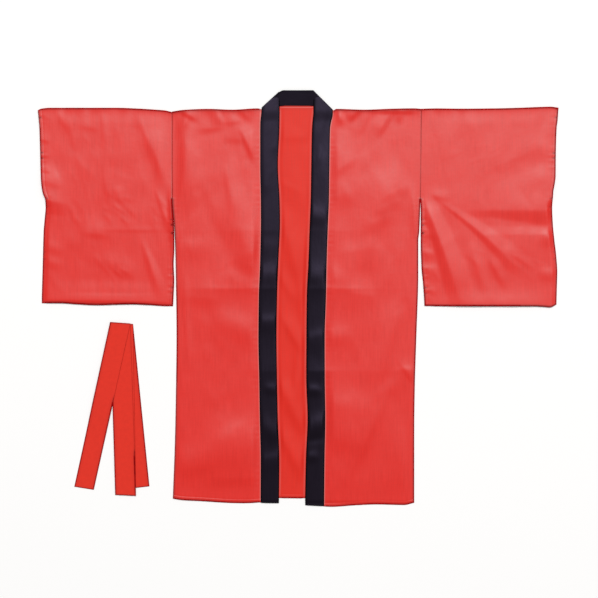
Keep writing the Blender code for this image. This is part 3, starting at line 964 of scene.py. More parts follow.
FRONT_LEFT_HEM = Edge(
    station=(55, 80, 145, 195, 265, 290),
    offset=(-519.5, -521, -517, -515, -516.5, -511),
)
COLLAR_HEIGHTS = (465, 420, 333, 245, 195, 95, 0, -100, -200, -300, -400, -500)
RIGHT_SEAM = Edge(
    COLLAR_HEIGHTS, (-93.3, -94.5, -94.5, -93.0, -92.8, -94.5, -98.0, -99.0, -97.0, -95.5, -93.2, -93.5)
)
RIGHT_FOLD = Edge(
    COLLAR_HEIGHTS, (-46.3, -47.2, -50.8, -46.5, -45.5, -49.5, -53.0, -54.3, -53.0, -51.0, -47.3, -48.0)
)
LEFT_FOLD = Edge(COLLAR_HEIGHTS, (38.5, 34.8, 33.3, 31.8, 29.8, 26.3, 22.0, 21.0, 20.8, 24.0, 19.8, 17.8))
LEFT_SEAM = Edge(COLLAR_HEIGHTS, (87.3, 79.5, 78.0, 76.8, 74.8, 71.3, 69.3, 66.3, 66.5, 67.8, 66.0, 65.0))
COLLAR_FOOT = Edge(station=(-94, -48, 17, 65), offset=(-511.0, -511.9, -516.9, -519.3))


def hem_drop(x: Array, y: Array) -> Array:
    """How far a layer that reaches past the back's hem comes down towards the floor."""
    return LAYER * smooth_step(BACK_HEM.at(x) - y, 4.0, 13.0)


# ---- The coat's creases

# Down each front: shoulder, chest, waist, skirt. Most creases are steep on their lower side alone.
FRONT_RIGHT_FOLDS = (
    Fold((-300, 474), (-262, 452), 2.0, 7, 20),
    Fold((-210, 476), (-196, 444), 1.8, 16, 8),
    Fold((-150, 478), (-124, 454), 1.3, 9, 60),
    Fold((-279, 450), (-302, 412), 2.0, 26, 10),
    Fold((-236, 424), (-200, 428), 1.0, 10, 26),
    Fold((-175, 442), (-155, 444), 0.8, 10, 22),
    Fold((-170, 402), (-146, 400), 0.8, 12, 70),
    Fold((-138, 410), (-109, 352), 2.3, 9, 60, 0, 0.45),
    Fold((-277, 430), (-277, 262), 3.8, 34, 24),
    Fold((-176, 318), (-162, 228), 1.4, 12, 20),
    Fold((-134, 218), (-148, 168), 0.6, 24, 12),
    Fold((-290, 125), (-245, 130), 1.3, 30, 24),
    Fold((-118, 120), (-90, 132), 5.0, 34, 110),
    Fold((-118, 86), (-90, 80), 3.0, 26, 60),
    Fold((-168, 50), (-126, 42), 1.1, 20, 24),
    Fold((-172, -62), (-142, -72), 2.6, 34, 34),
    Fold((-125, -92), (-112, -96), 1.2, 30, 30),
    Fold((-262, 6), (-225, 4), 1.4, 20, 50),
    Fold((-282, 40), (-276, -140), 1.1, 8, 10),
    Fold((-265, -404), (-232, -392), 1.8, 40, 34),
    Fold((-176, -372), (-142, -366), 5.6, 56, 58),
    Fold((-152, -330), (-144, -326), 0.8, 24, 22),
    Fold((-186, -352), (-182, -350), 0.6, 20, 20),
    Fold((-277, -420), (-240, -412), 2.4, 22, 40),
    Fold((-200, -448), (-110, -444), 2.4, 20, 100),
    Fold((-305, -498), (-262, -500), 1.3, 8, 15),
    *unrest((-305, -490), (-100, 460), 84, 110, 0.38, 31),
)
FRONT_LEFT_FOLDS = (
    Fold((96, 472), (106, 446), 2.4, 16, 8),
    Fold((152, 474), (134, 454), 2.4, 14, 8),
    Fold((190, 469), (306, 467), 1.4, 6, 14),
    Fold((262, 476), (254, 450), 1.4, 12, 7),
    Fold((228, 458), (206, 420), 1.9, 30, 10, 0, 0, True),
    Fold((172, 458), (154, 420), 1.0, 24, 10),
    Fold((92, 318), (132, 346), 1.1, 14, 60),
    Fold((94, 262), (126, 266), 1.5, 28, 90),
    Fold((226, 262), (250, 274), 2.2, 22, 80),
    Fold((208, 228), (234, 240), 2.2, 22, 70),
    Fold((192, 194), (214, 204), 1.9, 22, 60),
    Fold((296, 270), (296, 165), 2.6, 16, 10),
    Fold((190, 184), (180, 136), 1.4, 40, 16),
    Fold((130, 112), (185, 118), 1.6, 44, 24),
    Fold((78, 58), (104, 54), 1.4, 22, 34),
    Fold((135, 10), (180, 4), 0.9, 40, 14),
    Fold((78, -96), (100, -95), 1.6, 24, 24),
    Fold((240, -46), (188, -244), 3.6, 34, 18),
    Fold((258, -180), (290, -180), 0.8, 34, 9),
    Fold((262, -168), (290, -206), 1.6, 8, 24),
    Fold((118, -282), (148, -288), 3.6, 64, 52),
    Fold((100, -262), (106, -262), 0.6, 26, 22),
    Fold((160, -272), (166, -270), 0.6, 24, 22),
    Fold((104, -346), (146, -354), 2.8, 34, 50),
    Fold((206, -262), (120, -452), 2.6, 30, 16),
    Fold((258, -330), (256, -460), 2.2, 40, 12),
    Fold((235, -215), (205, -240), 0.9, 18, 18),
    *unrest((75, -500), (285, 460), 96, 110, 0.3, 32),
)
# Down each sleeve: the top, the seam at the body, then from the wrist to the underarm and the foot.
SLEEVE_RIGHT_FOLDS = (
    Fold((-384, 424), (-310, 262), 3.3, 20, 100, 0, 0.4),
    Fold((-350, 256), (-322, 180), 2.0, 12, 110, 0, 0.6, True),
    Fold((-382, 122), (-352, 34), 2.1, 15, 18, 0, 0.4, True),
    Fold((-640, -4), (-335, -10), 2.8, 9, 44, 0, 0, True),
    Fold((-570, 13), (-380, 12), -0.22, 5, 9),
    Fold((-656, 248), (-616, 242), 4.2, 28, 70, 0, 0, True),
    Fold((-646, 458), (-626, 452), 0.45, 6, 20),
    Fold((-644, 398), (-626, 394), 0.6, 5, 18),
    Fold((-642, 357), (-628, 354), 0.4, 5, 14),
    Fold((-640, 322), (-624, 318), 0.65, 5, 18),
    Fold((-640, 298), (-608, 288), 0.9, 12, 30),
    Fold((-592, 456), (-576, 430), 0.8, 10, 24),
    Fold((-534, 432), (-510, 428), 0.6, 10, 24),
    Fold((-488, 462), (-484, 385), 0.5, 7, 10),
    Fold((-482, 306), (-472, 255), 0.8, 9, 22),
    Fold((-450, 268), (-446, 248), 0.6, 8, 20),
    Fold((-520, 164), (-486, 160), 0.9, 10, 24),
    Fold((-446, 250), (-404, 205), 0.4, 7, 12),
    Fold((-572, 232), (-548, 184), 0.3, 6, 7),
    Fold((-500, 98), (-474, 68), 0.8, 9, 20),
    Fold((-466, 92), (-420, 62), 1.1, 11, 24),
    Fold((-480, 170), (-345, 170), 0.25, 4, 9),
    Fold((-634, 130), (-604, 124), 0.9, 14, 16),
    Fold((-632, 94), (-606, 86), 0.8, 12, 14),
    *unrest((-630, 10), (-330, 460), 102, 110, 0.24, 33),
    *crumple((-500, 330), (70, 90), -68, 16, 0.10, 11),
    *crumple((-450, 225), (45, 40), -45, 18, 0.16, 12),
    *crumple((-545, 205), (40, 50), -55, 10, 0.09, 13),
    *crumple((-458, 70), (34, 26), -35, 16, 0.20, 14),
    *crumple((-345, 215), (16, 45), -62, 10, 0.20, 15),
)
SLEEVE_LEFT_FOLDS = (
    Fold((319, 236), (392, 28), 7.4, 24, 40, -3, 0.45, True),
    Fold((380, 222), (528, 94), 3.0, 17, 34, -5, 0.7, True),
    Fold((486, 220), (668, 220), 5.2, 40, 130, 0, 0.6, True),
    Fold((345, -19), (620, -19), 2.8, 10, 30),
    Fold((500, 157), (668, 157), 1.45, 100, 20, 0, 0, True),
    Fold((484, 326), (580, 372), 0.7, 14, 40),
    Fold((312, 164), (334, 158), 0.8, 9, 12),
    Fold((312, 116), (330, 110), 0.9, 12, 10),
    Fold((314, 74), (338, 70), 1.0, 16, 12),
    Fold((316, 24), (336, 18), 0.6, 9, 10),
    Fold((436, 122), (462, 34), 1.6, 12, 16),
    Fold((486, 88), (508, 42), 1.3, 8, 14),
    Fold((536, 110), (578, 80), 0.5, 6, 12),
    Fold((342, 258), (366, 252), 0.8, 9, 18),
    Fold((600, 304), (642, 290), 0.4, 24, 20),
    Fold((605, 376), (642, 366), 0.7, 22, 20),
    Fold((622, 152), (647, 148), 1.4, 18, 14),
    Fold((618, 62), (647, 58), 1.2, 16, 14),
    *unrest((325, 10), (635, 460), 80, 100, 0.3, 34),
    *crumple((430, 90), (32, 50), -60, 14, 0.16, 21),
    *crumple((560, 95), (50, 35), -30, 12, 0.13, 22),
    *crumple((470, 350), (90, 60), 30, 12, 0.09, 23),
    *crumple((335, 80), (14, 60), -70, 9, 0.20, 24),
)
# Down the collar's right leg, then down its left one.
COLLAR_FOLDS = (
    Fold((-95, 130), (-50, 128), 0.9, 26, 20),
    Fold((-95, 60), (-50, 56), 2.3, 26, 26),
    Fold((-95, -62), (-50, -58), 2.2, 26, 18),
    Fold((-72, -226), (-58, -228), 1.8, 12, 14),
    Fold((-88, -322), (-54, -338), 2.7, 22, 26),
    Fold((-90, -408), (-50, -400), 2.2, 30, 18),
    Fold((78, 442), (62, 360), -2.7, 9, 9),
    Fold((66, 384), (50, 340), 1.2, 8, 10),
    Fold((30, 206), (76, 202), 1.6, 20, 24),
    Fold((28, 58), (72, 50), 2.1, 24, 34),
    Fold((24, -104), (64, -96), 2.2, 30, 20),
    Fold((24, -230), (44, -230), 2.3, 12, 14),
    Fold((28, -326), (62, -312), 3.8, 22, 26),
    Fold((20, -398), (36, -396), 2.2, 11, 14),
    Fold((22, -356), (60, -348), -1.3, 10, 10),
    *unrest((-95, -500), (-50, 440), 90, 40, 0.3, 35),
    *unrest((22, -510), (70, 440), 90, 40, 0.3, 36),
)
# Down the back, where it shows between the bands.
BACK_FOLDS = (
    Fold((-30, 180), (6, 50), 4.6, 20, 26),
    Fold((-40, 52), (-14, 6), 1.8, 12, 18),
    Fold((8, 30), (16, -60), 3.0, 14, 12),
    Fold((-28, -60), (4, -120), 2.8, 12, 22),
    Fold((6, -110), (-6, -240), 3.6, 14, 20),
    Fold((-42, -210), (18, -335), 4.6, 18, 22),
    Fold((-34, -350), (8, -430), 3.8, 16, 22),
    Fold((-44, 404), (34, 404), 1.0, 12, 30),
    Fold((-14, 320), (18, 230), 1.2, 18, 18),
    *unrest((-46, -490), (30, 460), 100, 60, 0.6, 37),
)


# ---- Pieces of the coat


@dataclass(kw_only=True)
class Piece:
    """A piece of cut cloth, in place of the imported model's solid of the same name."""

    name: str
    flat: Point  # the cut of what shows, in metres
    slot: str = "body_satin"
    held: str = "laid"
    rests_on: tuple[str, ...] = ("floor",)

    def cloth(self) -> Cloth:
        """The cloth as it lies."""
        raise NotImplementedError

    def stitch_paths(self) -> list[Array]:
        """Lines of the stitches that show, each [n, 3]."""
        return []

    def build(self, dressing: Dressing) -> bpy.types.Object:
        """Makes the cloth and its stitching.

        Args:
            dressing: Its materials.

        Returns:
            The cloth's object.
        """
        made = self.cloth().object(f"{self.name}_cloth", dressing)
        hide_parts(self.name)
        paths = self.stitch_paths()
        if paths:
            sew(f"{self.name}_stitches", paths, dressing.thread)
        return made


@dataclass(kw_only=True)
class Panel(Piece):
    """A piece that lies as one layer, by its own plan and its height and rim at each place."""

    turned: bool = False  # as in Cloth

    def cloth(self) -> Cloth:
        """The panel as it lies.

        Returns:
            The cloth's middle surface, its place in the weave and its rims.
        """
        x, y = self.plan()
        centre = np.stack([x, y, self.height(x, y)], axis=-1)
        return Cloth(centre, centre[..., :2], self.rim(x, y), turned=self.turned)


def stitch_line(x: Array, y: Array, height: Array) -> Array:
    """A line [n, 3] of stitches that lie on cloth of this height."""
    return np.stack([x, y, height + STITCH_LIFT], axis=-1)


@dataclass(kw_only=True)
class Front(Panel):
    """One front: a long panel, tucked under the collar band at its inner edge."""

    side: Side
    outer: Edge
    seam: Edge
    hem: Edge
    relief: Relief
    rests_on: tuple[str, ...] = ("back_cloth",)
    turned: bool = True
    step: float = 3.0
    sleeve_seam: Point = (190.0, 330.0)  # between these heights the strip held flat at the side widens
    slit_ends: tuple[Point, Point] = ((135.0, 150.0), (248.0, 254.0))  # where the puckers down it fade
    hem_inset: float = 4.0  # of the hem's stitches from the panel's sides
    slit_stitches: Point = (247.0, 146.0)
    hem_gathers: Gathers = Gathers(pitch=17.0, rise=0.24, phase=0.4)
    slit_gathers: Gathers = Gathers(pitch=13.0, rise=0.1, row=HEM_DEPTH - 1.0, phase=1.9)
    seam_gathers: Gathers = Gathers(pitch=16.0, rise=0.16, row=2.0, reach=12.0, phase=2.2)

    def plan(self) -> Array:
        """Plan of the panel's grid, finer by its edges.

        Returns:
            Positions x[i, j] and y[i, j], i across and j down.
        """
        inner = Edge(self.seam.station, tuple(s - self.side.value * TUCK for s in self.seam.offset))
        sides = (self.outer, inner)
        width = abs(float(self.outer.at(0.0) - inner.at(0.0)))
        marks = (RIM_MARKS, [0.0, 4.0, TUCK - 1.0, TUCK, TUCK + 1.0])
        if self.side is Side.LEFT:
            sides, marks = sides[::-1], marks[::-1]
        across = stations(width, self.step, *marks)
        down = stations(SHOULDER_Y - BODY_HEM_Y, self.step, RIM_MARKS, HEM_MARKS)
        return spread_plan(sides, (SHOULDER, self.hem), across, down, (SHOULDER_Y, BODY_HEM_Y))

    def distances(self, x: Array, y: Array) -> tuple[Array, ...]:
        """Distances in from the side, the collar's seam, the hem and the shoulder."""
        from_seam = np.abs(x) - np.abs(self.seam.at(y))
        return np.abs(self.outer.at(y) - x), from_seam, y - self.hem.at(x), SHOULDER.at(x) - y

    def height(self, x: Array, y: Array) -> Array:
        """Height of the middle of the cloth above the floor at these places.

        Args:
            x: Positions across the coat.
            y: Positions up the coat.

        Returns:
            Heights above the floor.
        """
        from_side, from_seam, from_hem, from_top = self.distances(x, y)
        sewn = 14.0 + 22.0 * smooth_step(y, *self.sleeve_seam)
        settled = smooth_step(from_seam, 0.0, 24.0) * smooth_step(from_side / sewn, 0.0, 1.0)
        settled = settled * (0.4 + 0.6 * smooth_step(from_hem, 0.0, 70.0))
        slack = 0.3 + 0.7 * smooth_step(from_side, 0.0, 110.0)
        lift = self.relief.height(x, y, slack) * settled
        slit = smooth_step(y, *self.slit_ends[0]) * (1 - smooth_step(y, *self.slit_ends[1]))
        by_band = smooth_step(from_seam, 0.0, 6.0)
        hems = self.hem_gathers.height(x, from_hem)
        sides = self.slit_gathers.height(y, from_side) * slit
        seams = self.seam_gathers.height(y, from_seam) * by_band
        shoulder = roll(from_top, 0.8, 4.0) + roll(from_top, 1.3, 13.0) * (1 + uneven_wave(x, 46.0, 0.8))
        turned = smooth_step(from_top, -0.15, 1.3)
        round_down = TURN_RADIUS * 0.9 * (1 - quarter_round(np.minimum(from_side, from_top), TURN_RADIUS))
        base = LAYER + SATIN_THICKNESS / 2 + packet_lift(x, y) - hem_drop(x, y)
        return base + (lift + shoulder * by_band) * turned + hems + sides + seams - round_down

    def rim(self, x: Array, y: Array) -> Array:
        """Rim value at these places: painted shade at the edges, and a painted highlight along the collar's
        seam.

        Args:
            x: Positions across the coat.
            y: Positions up the coat.

        Returns:
            Rim values.
        """
        from_side, from_seam, from_hem, from_top = self.distances(x, y)
        at_sleeve = smooth_step(y, UNDERARM_Y - 1.0, UNDERARM_Y + 2.0)
        strength = Rim.TURNED.value * (1 - at_sleeve) + Rim.SEAMED.value * at_sleeve
        by_side = strength * near(from_side, TURNED_RIM - 2.4 * at_sleeve)
        by_hem = Rim.HEMMED.value * near(from_hem, HEM_RIM)
        by_top = Rim.TURNED.value * near(from_top, 5.0)
        # A painted highlight along the collar's seam.
        pale = Rim.SELVEDGE_AND_HIGHLIGHT.value * near(from_seam - 0.6, 1.2)
        return np.maximum(np.maximum(by_side, by_hem), by_top) + pale

    def stitch_paths(self) -> list[Array]:
        """Lines of the stitches along the hem and down the open slit under the sleeve.

        Returns:
            The lines, each [n, 3].
        """
        ends = sorted([float(self.outer.at(FOOT_Y)), float(self.seam.at(FOOT_Y))])
        hem_x = np.linspace(ends[0] + self.hem_inset, ends[1] - self.hem_inset, 90)
        hem_y = self.hem.at(hem_x) + HEM_DEPTH
        slit_y = np.linspace(*self.slit_stitches, 50)
        slit_x = self.outer.at(slit_y) - self.side.value * self.slit_gathers.row
        return [stitch_line(x, y, self.height(x, y)) for x, y in ((hem_x, hem_y), (slit_x, slit_y))]


@dataclass(kw_only=True)
class Back(Panel):
    """The back: one wide panel on the floor, seen only between the two bands."""

    name: str = "back"
    flat: Point = (0.62, 0.99)
    folds: Folds = BACK_FOLDS
    hem_gathers: Gathers = Gathers(pitch=18.0, rise=0.12, phase=2.9)
    row_step: float = 4.0
    shown_step: float = 2.6
    hidden_step: float = 15.0
    strip: Point = (-70.0, 60.0)  # what the fine part of the grid covers
    puff: float = 1.2  # how far the strip between the bands rises off the floor
    beside_band: Point = (2.0, 14.0)  # and how far in from a band that starts and ends
    hem_stitches: Point = (-47.0, 17.0)
    band_y: float = 480.0  # lower edge of the band behind the neck, with shadow painted on the cloth below it

    def plan(self) -> Array:
        """Plan of the grid: fine where the back shows, coarse where it is covered.

        Returns:
            Positions x[i, j] and y[i, j], i across and j down.
        """
        low, high = SHOULDER.station[0], SHOULDER.station[-1]
        hidden_right = np.arange(low, self.strip[0], self.hidden_step)
        shown = np.arange(*self.strip, self.shown_step)
        hidden_left = np.append(np.arange(self.strip[1], high - 8, self.hidden_step), high)
        across = (np.concatenate([hidden_right, shown, hidden_left]) - low) / (high - low)
        by_band = [*RIM_MARKS, 9.5, 11.0, 12.2, 13.2, 14.2, 15.4]
        down = stations(SHOULDER_Y - BODY_HEM_Y, self.row_step, by_band, HEM_MARKS)
        sides, ends = (RIGHT_SIDE, LEFT_SIDE), (BACK_TOP, BACK_HEM)
        return spread_plan(sides, ends, across, down, (SHOULDER_Y, BODY_HEM_Y))

    def height(self, x: Array, y: Array) -> Array:
        """Height of the middle of the cloth above the floor.

        Args:
            x: Positions across the coat.
            y: Positions up the coat.

        Returns:
            Heights above the floor.
        """
        inside = smooth_step(x - RIGHT_FOLD.at(y), *self.beside_band)
        inside = inside * smooth_step(LEFT_FOLD.at(y) - x, *self.beside_band)
        relief = sum(fold.height(x, y) for fold in self.folds)
        hem = self.hem_gathers.height(x, y - BACK_HEM.at(x))
        return SATIN_THICKNESS / 2 + np.maximum(self.puff + relief + hem, 0) * inside

    def rim(self, x: Array, y: Array) -> Array:
        """Rim value: painted shade at the hem, a painted shadow under the neck's band, a painted highlight
        beside the bands and a pale selvedge along the band's seam.

        Args:
            x: Positions across the coat.
            y: Positions up the coat.

        Returns:
            Rim values.
        """
        by_hem = Rim.HEMMED.value * near(y - BACK_HEM.at(x), HEM_RIM)
        # A painted shadow under the neck's band.
        shaded = 0.42 * near(y - self.band_y, 6.0)
        from_band = np.minimum(x - RIGHT_FOLD.at(y), LEFT_FOLD.at(y) - x)
        # A painted highlight beside the bands.
        pale = 0.4 * Rim.SELVEDGE_AND_HIGHLIGHT.value * near(from_band - 2.4, 1.5) * (y < self.band_y - 6.0)
        seam = 1.5 * Rim.SELVEDGE_AND_HIGHLIGHT.value * near(y - self.band_y + 3.2, 1.2) * (from_band > 0)
        return np.maximum(by_hem, shaded) + pale + seam

    def stitch_paths(self) -> list[Array]:
        """Line of the hem's stitches where it shows.

        Returns:
            The lines, each [n, 3].
        """
        x = np.linspace(*self.hem_stitches, 30)
        y = BACK_HEM.at(x) + HEM_DEPTH
        return [stitch_line(x, y, self.height(x, y))]


@dataclass(kw_only=True)
class Sleeve(Piece):
    """One square sleeve: a strip folded over at the top and sewn together at the foot.

    Its wrist is open above the underarm's level and sewn below it. Its body side is sewn to the
    coat above the underarm and open, with two hemmed edges, below.
    """

    side: Side
    body: Edge
    wrist: Edge
    fold: Edge
    foot: Edge
    relief: Relief
    flat: Point = (0.335, 0.99)
    step: float = 3.0
    hidden_step: float = 11.0
    span: Point = (474.0, -18.0)
    wrist_hem: Gathers = Gathers(pitch=17.0, rise=0.16, phase=0.9)
    body_hem: Gathers = Gathers(pitch=19.0, rise=0.3, reach=6.0, phase=2.0)
    stand: float = 0.0  # how far its edge at the body stands up by the underarm
    wrist_stitches: Point = (466.0, UNDERARM_Y - 2.0)
    body_stitches: Point = (UNDERARM_Y - 8.0, -12.0)

    def courses(self) -> tuple[Array, Array]:
        """Shares down the sleeve and turning angles of the grid's rows, once round the tube.

        The angle is -90 degrees on the lower leaf, 90 on the upper one, and between them round
        the fold. It is 0 where the two meet at the foot.

        Returns:
            The shares, and the angles in radians.
        """
        length = self.span[0] - self.span[1]
        ends = [0.0, EDGE_WIDTH, 4.0]
        under = stations(length, self.hidden_step, [0.0], [0.0])[::-1]
        over = stations(length, self.step, ends, ends)
        down = np.concatenate([np.ones(3), under, np.zeros(5), over, np.ones(3)])
        leaves = [np.full(len(under), -90.0), np.linspace(-60.0, 60.0, 5), np.full(len(over), 90.0)]
        turn = np.concatenate([[0.0, -30.0, -60.0], *leaves, [60.0, 30.0, 0.0]])
        return down, np.radians(turn)

    def distances(self, x: Array, y: Array) -> tuple[Array, ...]:
        """Distances in from the wrist, the body side, the fold and the foot."""
        from_wrist, from_body = np.abs(self.wrist.at(y) - x), np.abs(x - self.body.at(y))
        return from_wrist, from_body, self.fold.at(x) - y, y - self.foot.at(x)

    def lift(self, x: Array, y: Array) -> Array:
        """How far the upper leaf stands off the lower one, beyond one layer.

        Args:
            x: Positions across the coat.
            y: Positions up the coat.

        Returns:
            Heights.
        """
        from_wrist, from_body, from_fold, _ = self.distances(x, y)
        open_wrist = smooth_step(y, UNDERARM_Y - 25.0, UNDERARM_Y)
        sewn = smooth_step(y, UNDERARM_Y - 66.0, UNDERARM_Y + 10.0)
        free_side = 0.8 + 0.2 * smooth_step(from_body, 0.0, 12.0)
        settled = 0.7 + 0.3 * smooth_step(from_fold, 0.0, 40.0)
        settled = settled * (sewn * smooth_step(from_body, 0.0, 38.0) + (1 - sewn) * free_side)
        settled = settled * (open_wrist + (1 - open_wrist) * smooth_step(from_wrist, 0.0, 16.0))
        slack = 0.3 + 0.7 * smooth_step(from_body, 0.0, 110.0)
        wrist_hem = self.wrist_hem.height(y, from_wrist) * (0.35 + 0.65 * open_wrist)
        body_hem = self.body_hem.height(y, from_body) * (1 - smooth_step(y, UNDERARM_Y - 6.0, UNDERARM_Y))
        unpressed = 1 + uneven_wave(x, 58.0, self.side.value)
        top_roll = roll(from_fold, 0.6, 4.0) + roll(from_fold, 0.9, 13.0) * unpressed
        by_underarm = smooth_step(y, 90.0, 190.0) * (1 - smooth_step(y, 200.0, 330.0))
        stand = self.stand * (1 - smooth_step(from_body, 0.0, 16.0)) * by_underarm
        return self.relief.height(x, y, slack) * settled + wrist_hem + body_hem + top_roll + stand

    def rim(self, x: Array, y: Array) -> Array:
        """Rim value: painted shade along the edges and the sewn seam, and in the bottoms of the puckers along
        the hems.

        Args:
            x: Positions across the coat.
            y: Positions up the coat.

        Returns:
            Rim values.
        """
        from_wrist, from_body, from_fold, from_foot = self.distances(x, y)
        open_wrist = smooth_step(y, UNDERARM_Y - 6.0, UNDERARM_Y + 2.0)
        shades = (
            Rim.HEMMED.value * near(from_wrist, HEM_RIM),
            Rim.HEMMED.value * near(from_body, HEM_RIM) * (y < UNDERARM_Y),
            Rim.SEAMED.value * near(from_body, 1.0) * (y > UNDERARM_Y),
            self.wrist_hem.shade(y, from_wrist) * (0.5 + 0.5 * open_wrist),
            self.body_hem.shade(y, from_body) * (y <= UNDERARM_Y),
            Rim.TURNED.value * near(from_fold, 3.5),
            Rim.TURNED.value * near(from_foot, TURNED_RIM),
        )
        return np.maximum.reduce(shades)

    def cloth(self) -> Cloth:
        """The whole tube as it lies.

        Returns:
            The cloth's middle surface, its place in the weave and its rims.
        """
        down, turn = self.courses()
        width = abs(float(self.wrist.at(100.0) - self.body.at(100.0)))
        across = stations(width, self.step, HEM_MARKS, HEM_MARKS)
        sides = (self.wrist, self.body)
        if self.side is Side.LEFT:
            sides = sides[::-1]
        x, y = spread_plan(sides, (self.fold, self.foot), across, down, self.span)
        from_wrist, from_body, _, _ = self.distances(x, y)
        upper = np.clip(np.sin(turn), 0, 1)[None, :]
        shifted = TURN_RADIUS * (1 - np.cos(turn))[None, :]
        placed_y = y - shifted * (1 - down) + shifted * down
        open_wrist = smooth_step(y, UNDERARM_Y - 6.0, UNDERARM_Y + 2.0)
        flat_wrist = 1 - quarter_round(from_wrist, TURN_RADIUS)
        closing = 1 - (1 - open_wrist) * flat_wrist
        joined = TURN_RADIUS * np.sin(turn)[None, :] * closing
        eased = 0.45 * (1 - quarter_round(from_body, TURN_RADIUS)) + 0.4 * open_wrist * flat_wrist
        z = SATIN_THICKNESS / 2 + TURN_RADIUS + joined + (self.lift(x, y) * closing - eased) * upper
        around = np.where(np.sin(turn) > 0, 1.0, -1.0)[None, :]
        thread = np.stack([x, (self.span[0] - y) * around], axis=-1)
        return Cloth(np.stack([x, placed_y, z], axis=-1), thread, self.rim(x, y), turned=True)

    def stitch_paths(self) -> list[Array]:
        """Lines of the stitches at the wrist opening and down the open body side.

        Returns:
            The lines, each [n, 3].
        """
        paths = []
        wrist_y = np.linspace(*self.wrist_stitches, 90)
        body_y = np.linspace(*self.body_stitches, 110)
        for edge, y, inward in ((self.wrist, wrist_y, -1), (self.body, body_y, 1)):
            x = edge.at(y) + inward * self.side.value * HEM_DEPTH
            paths.append(stitch_line(x, y, SATIN_THICKNESS / 2 + LAYER + self.lift(x, y)))
        return paths


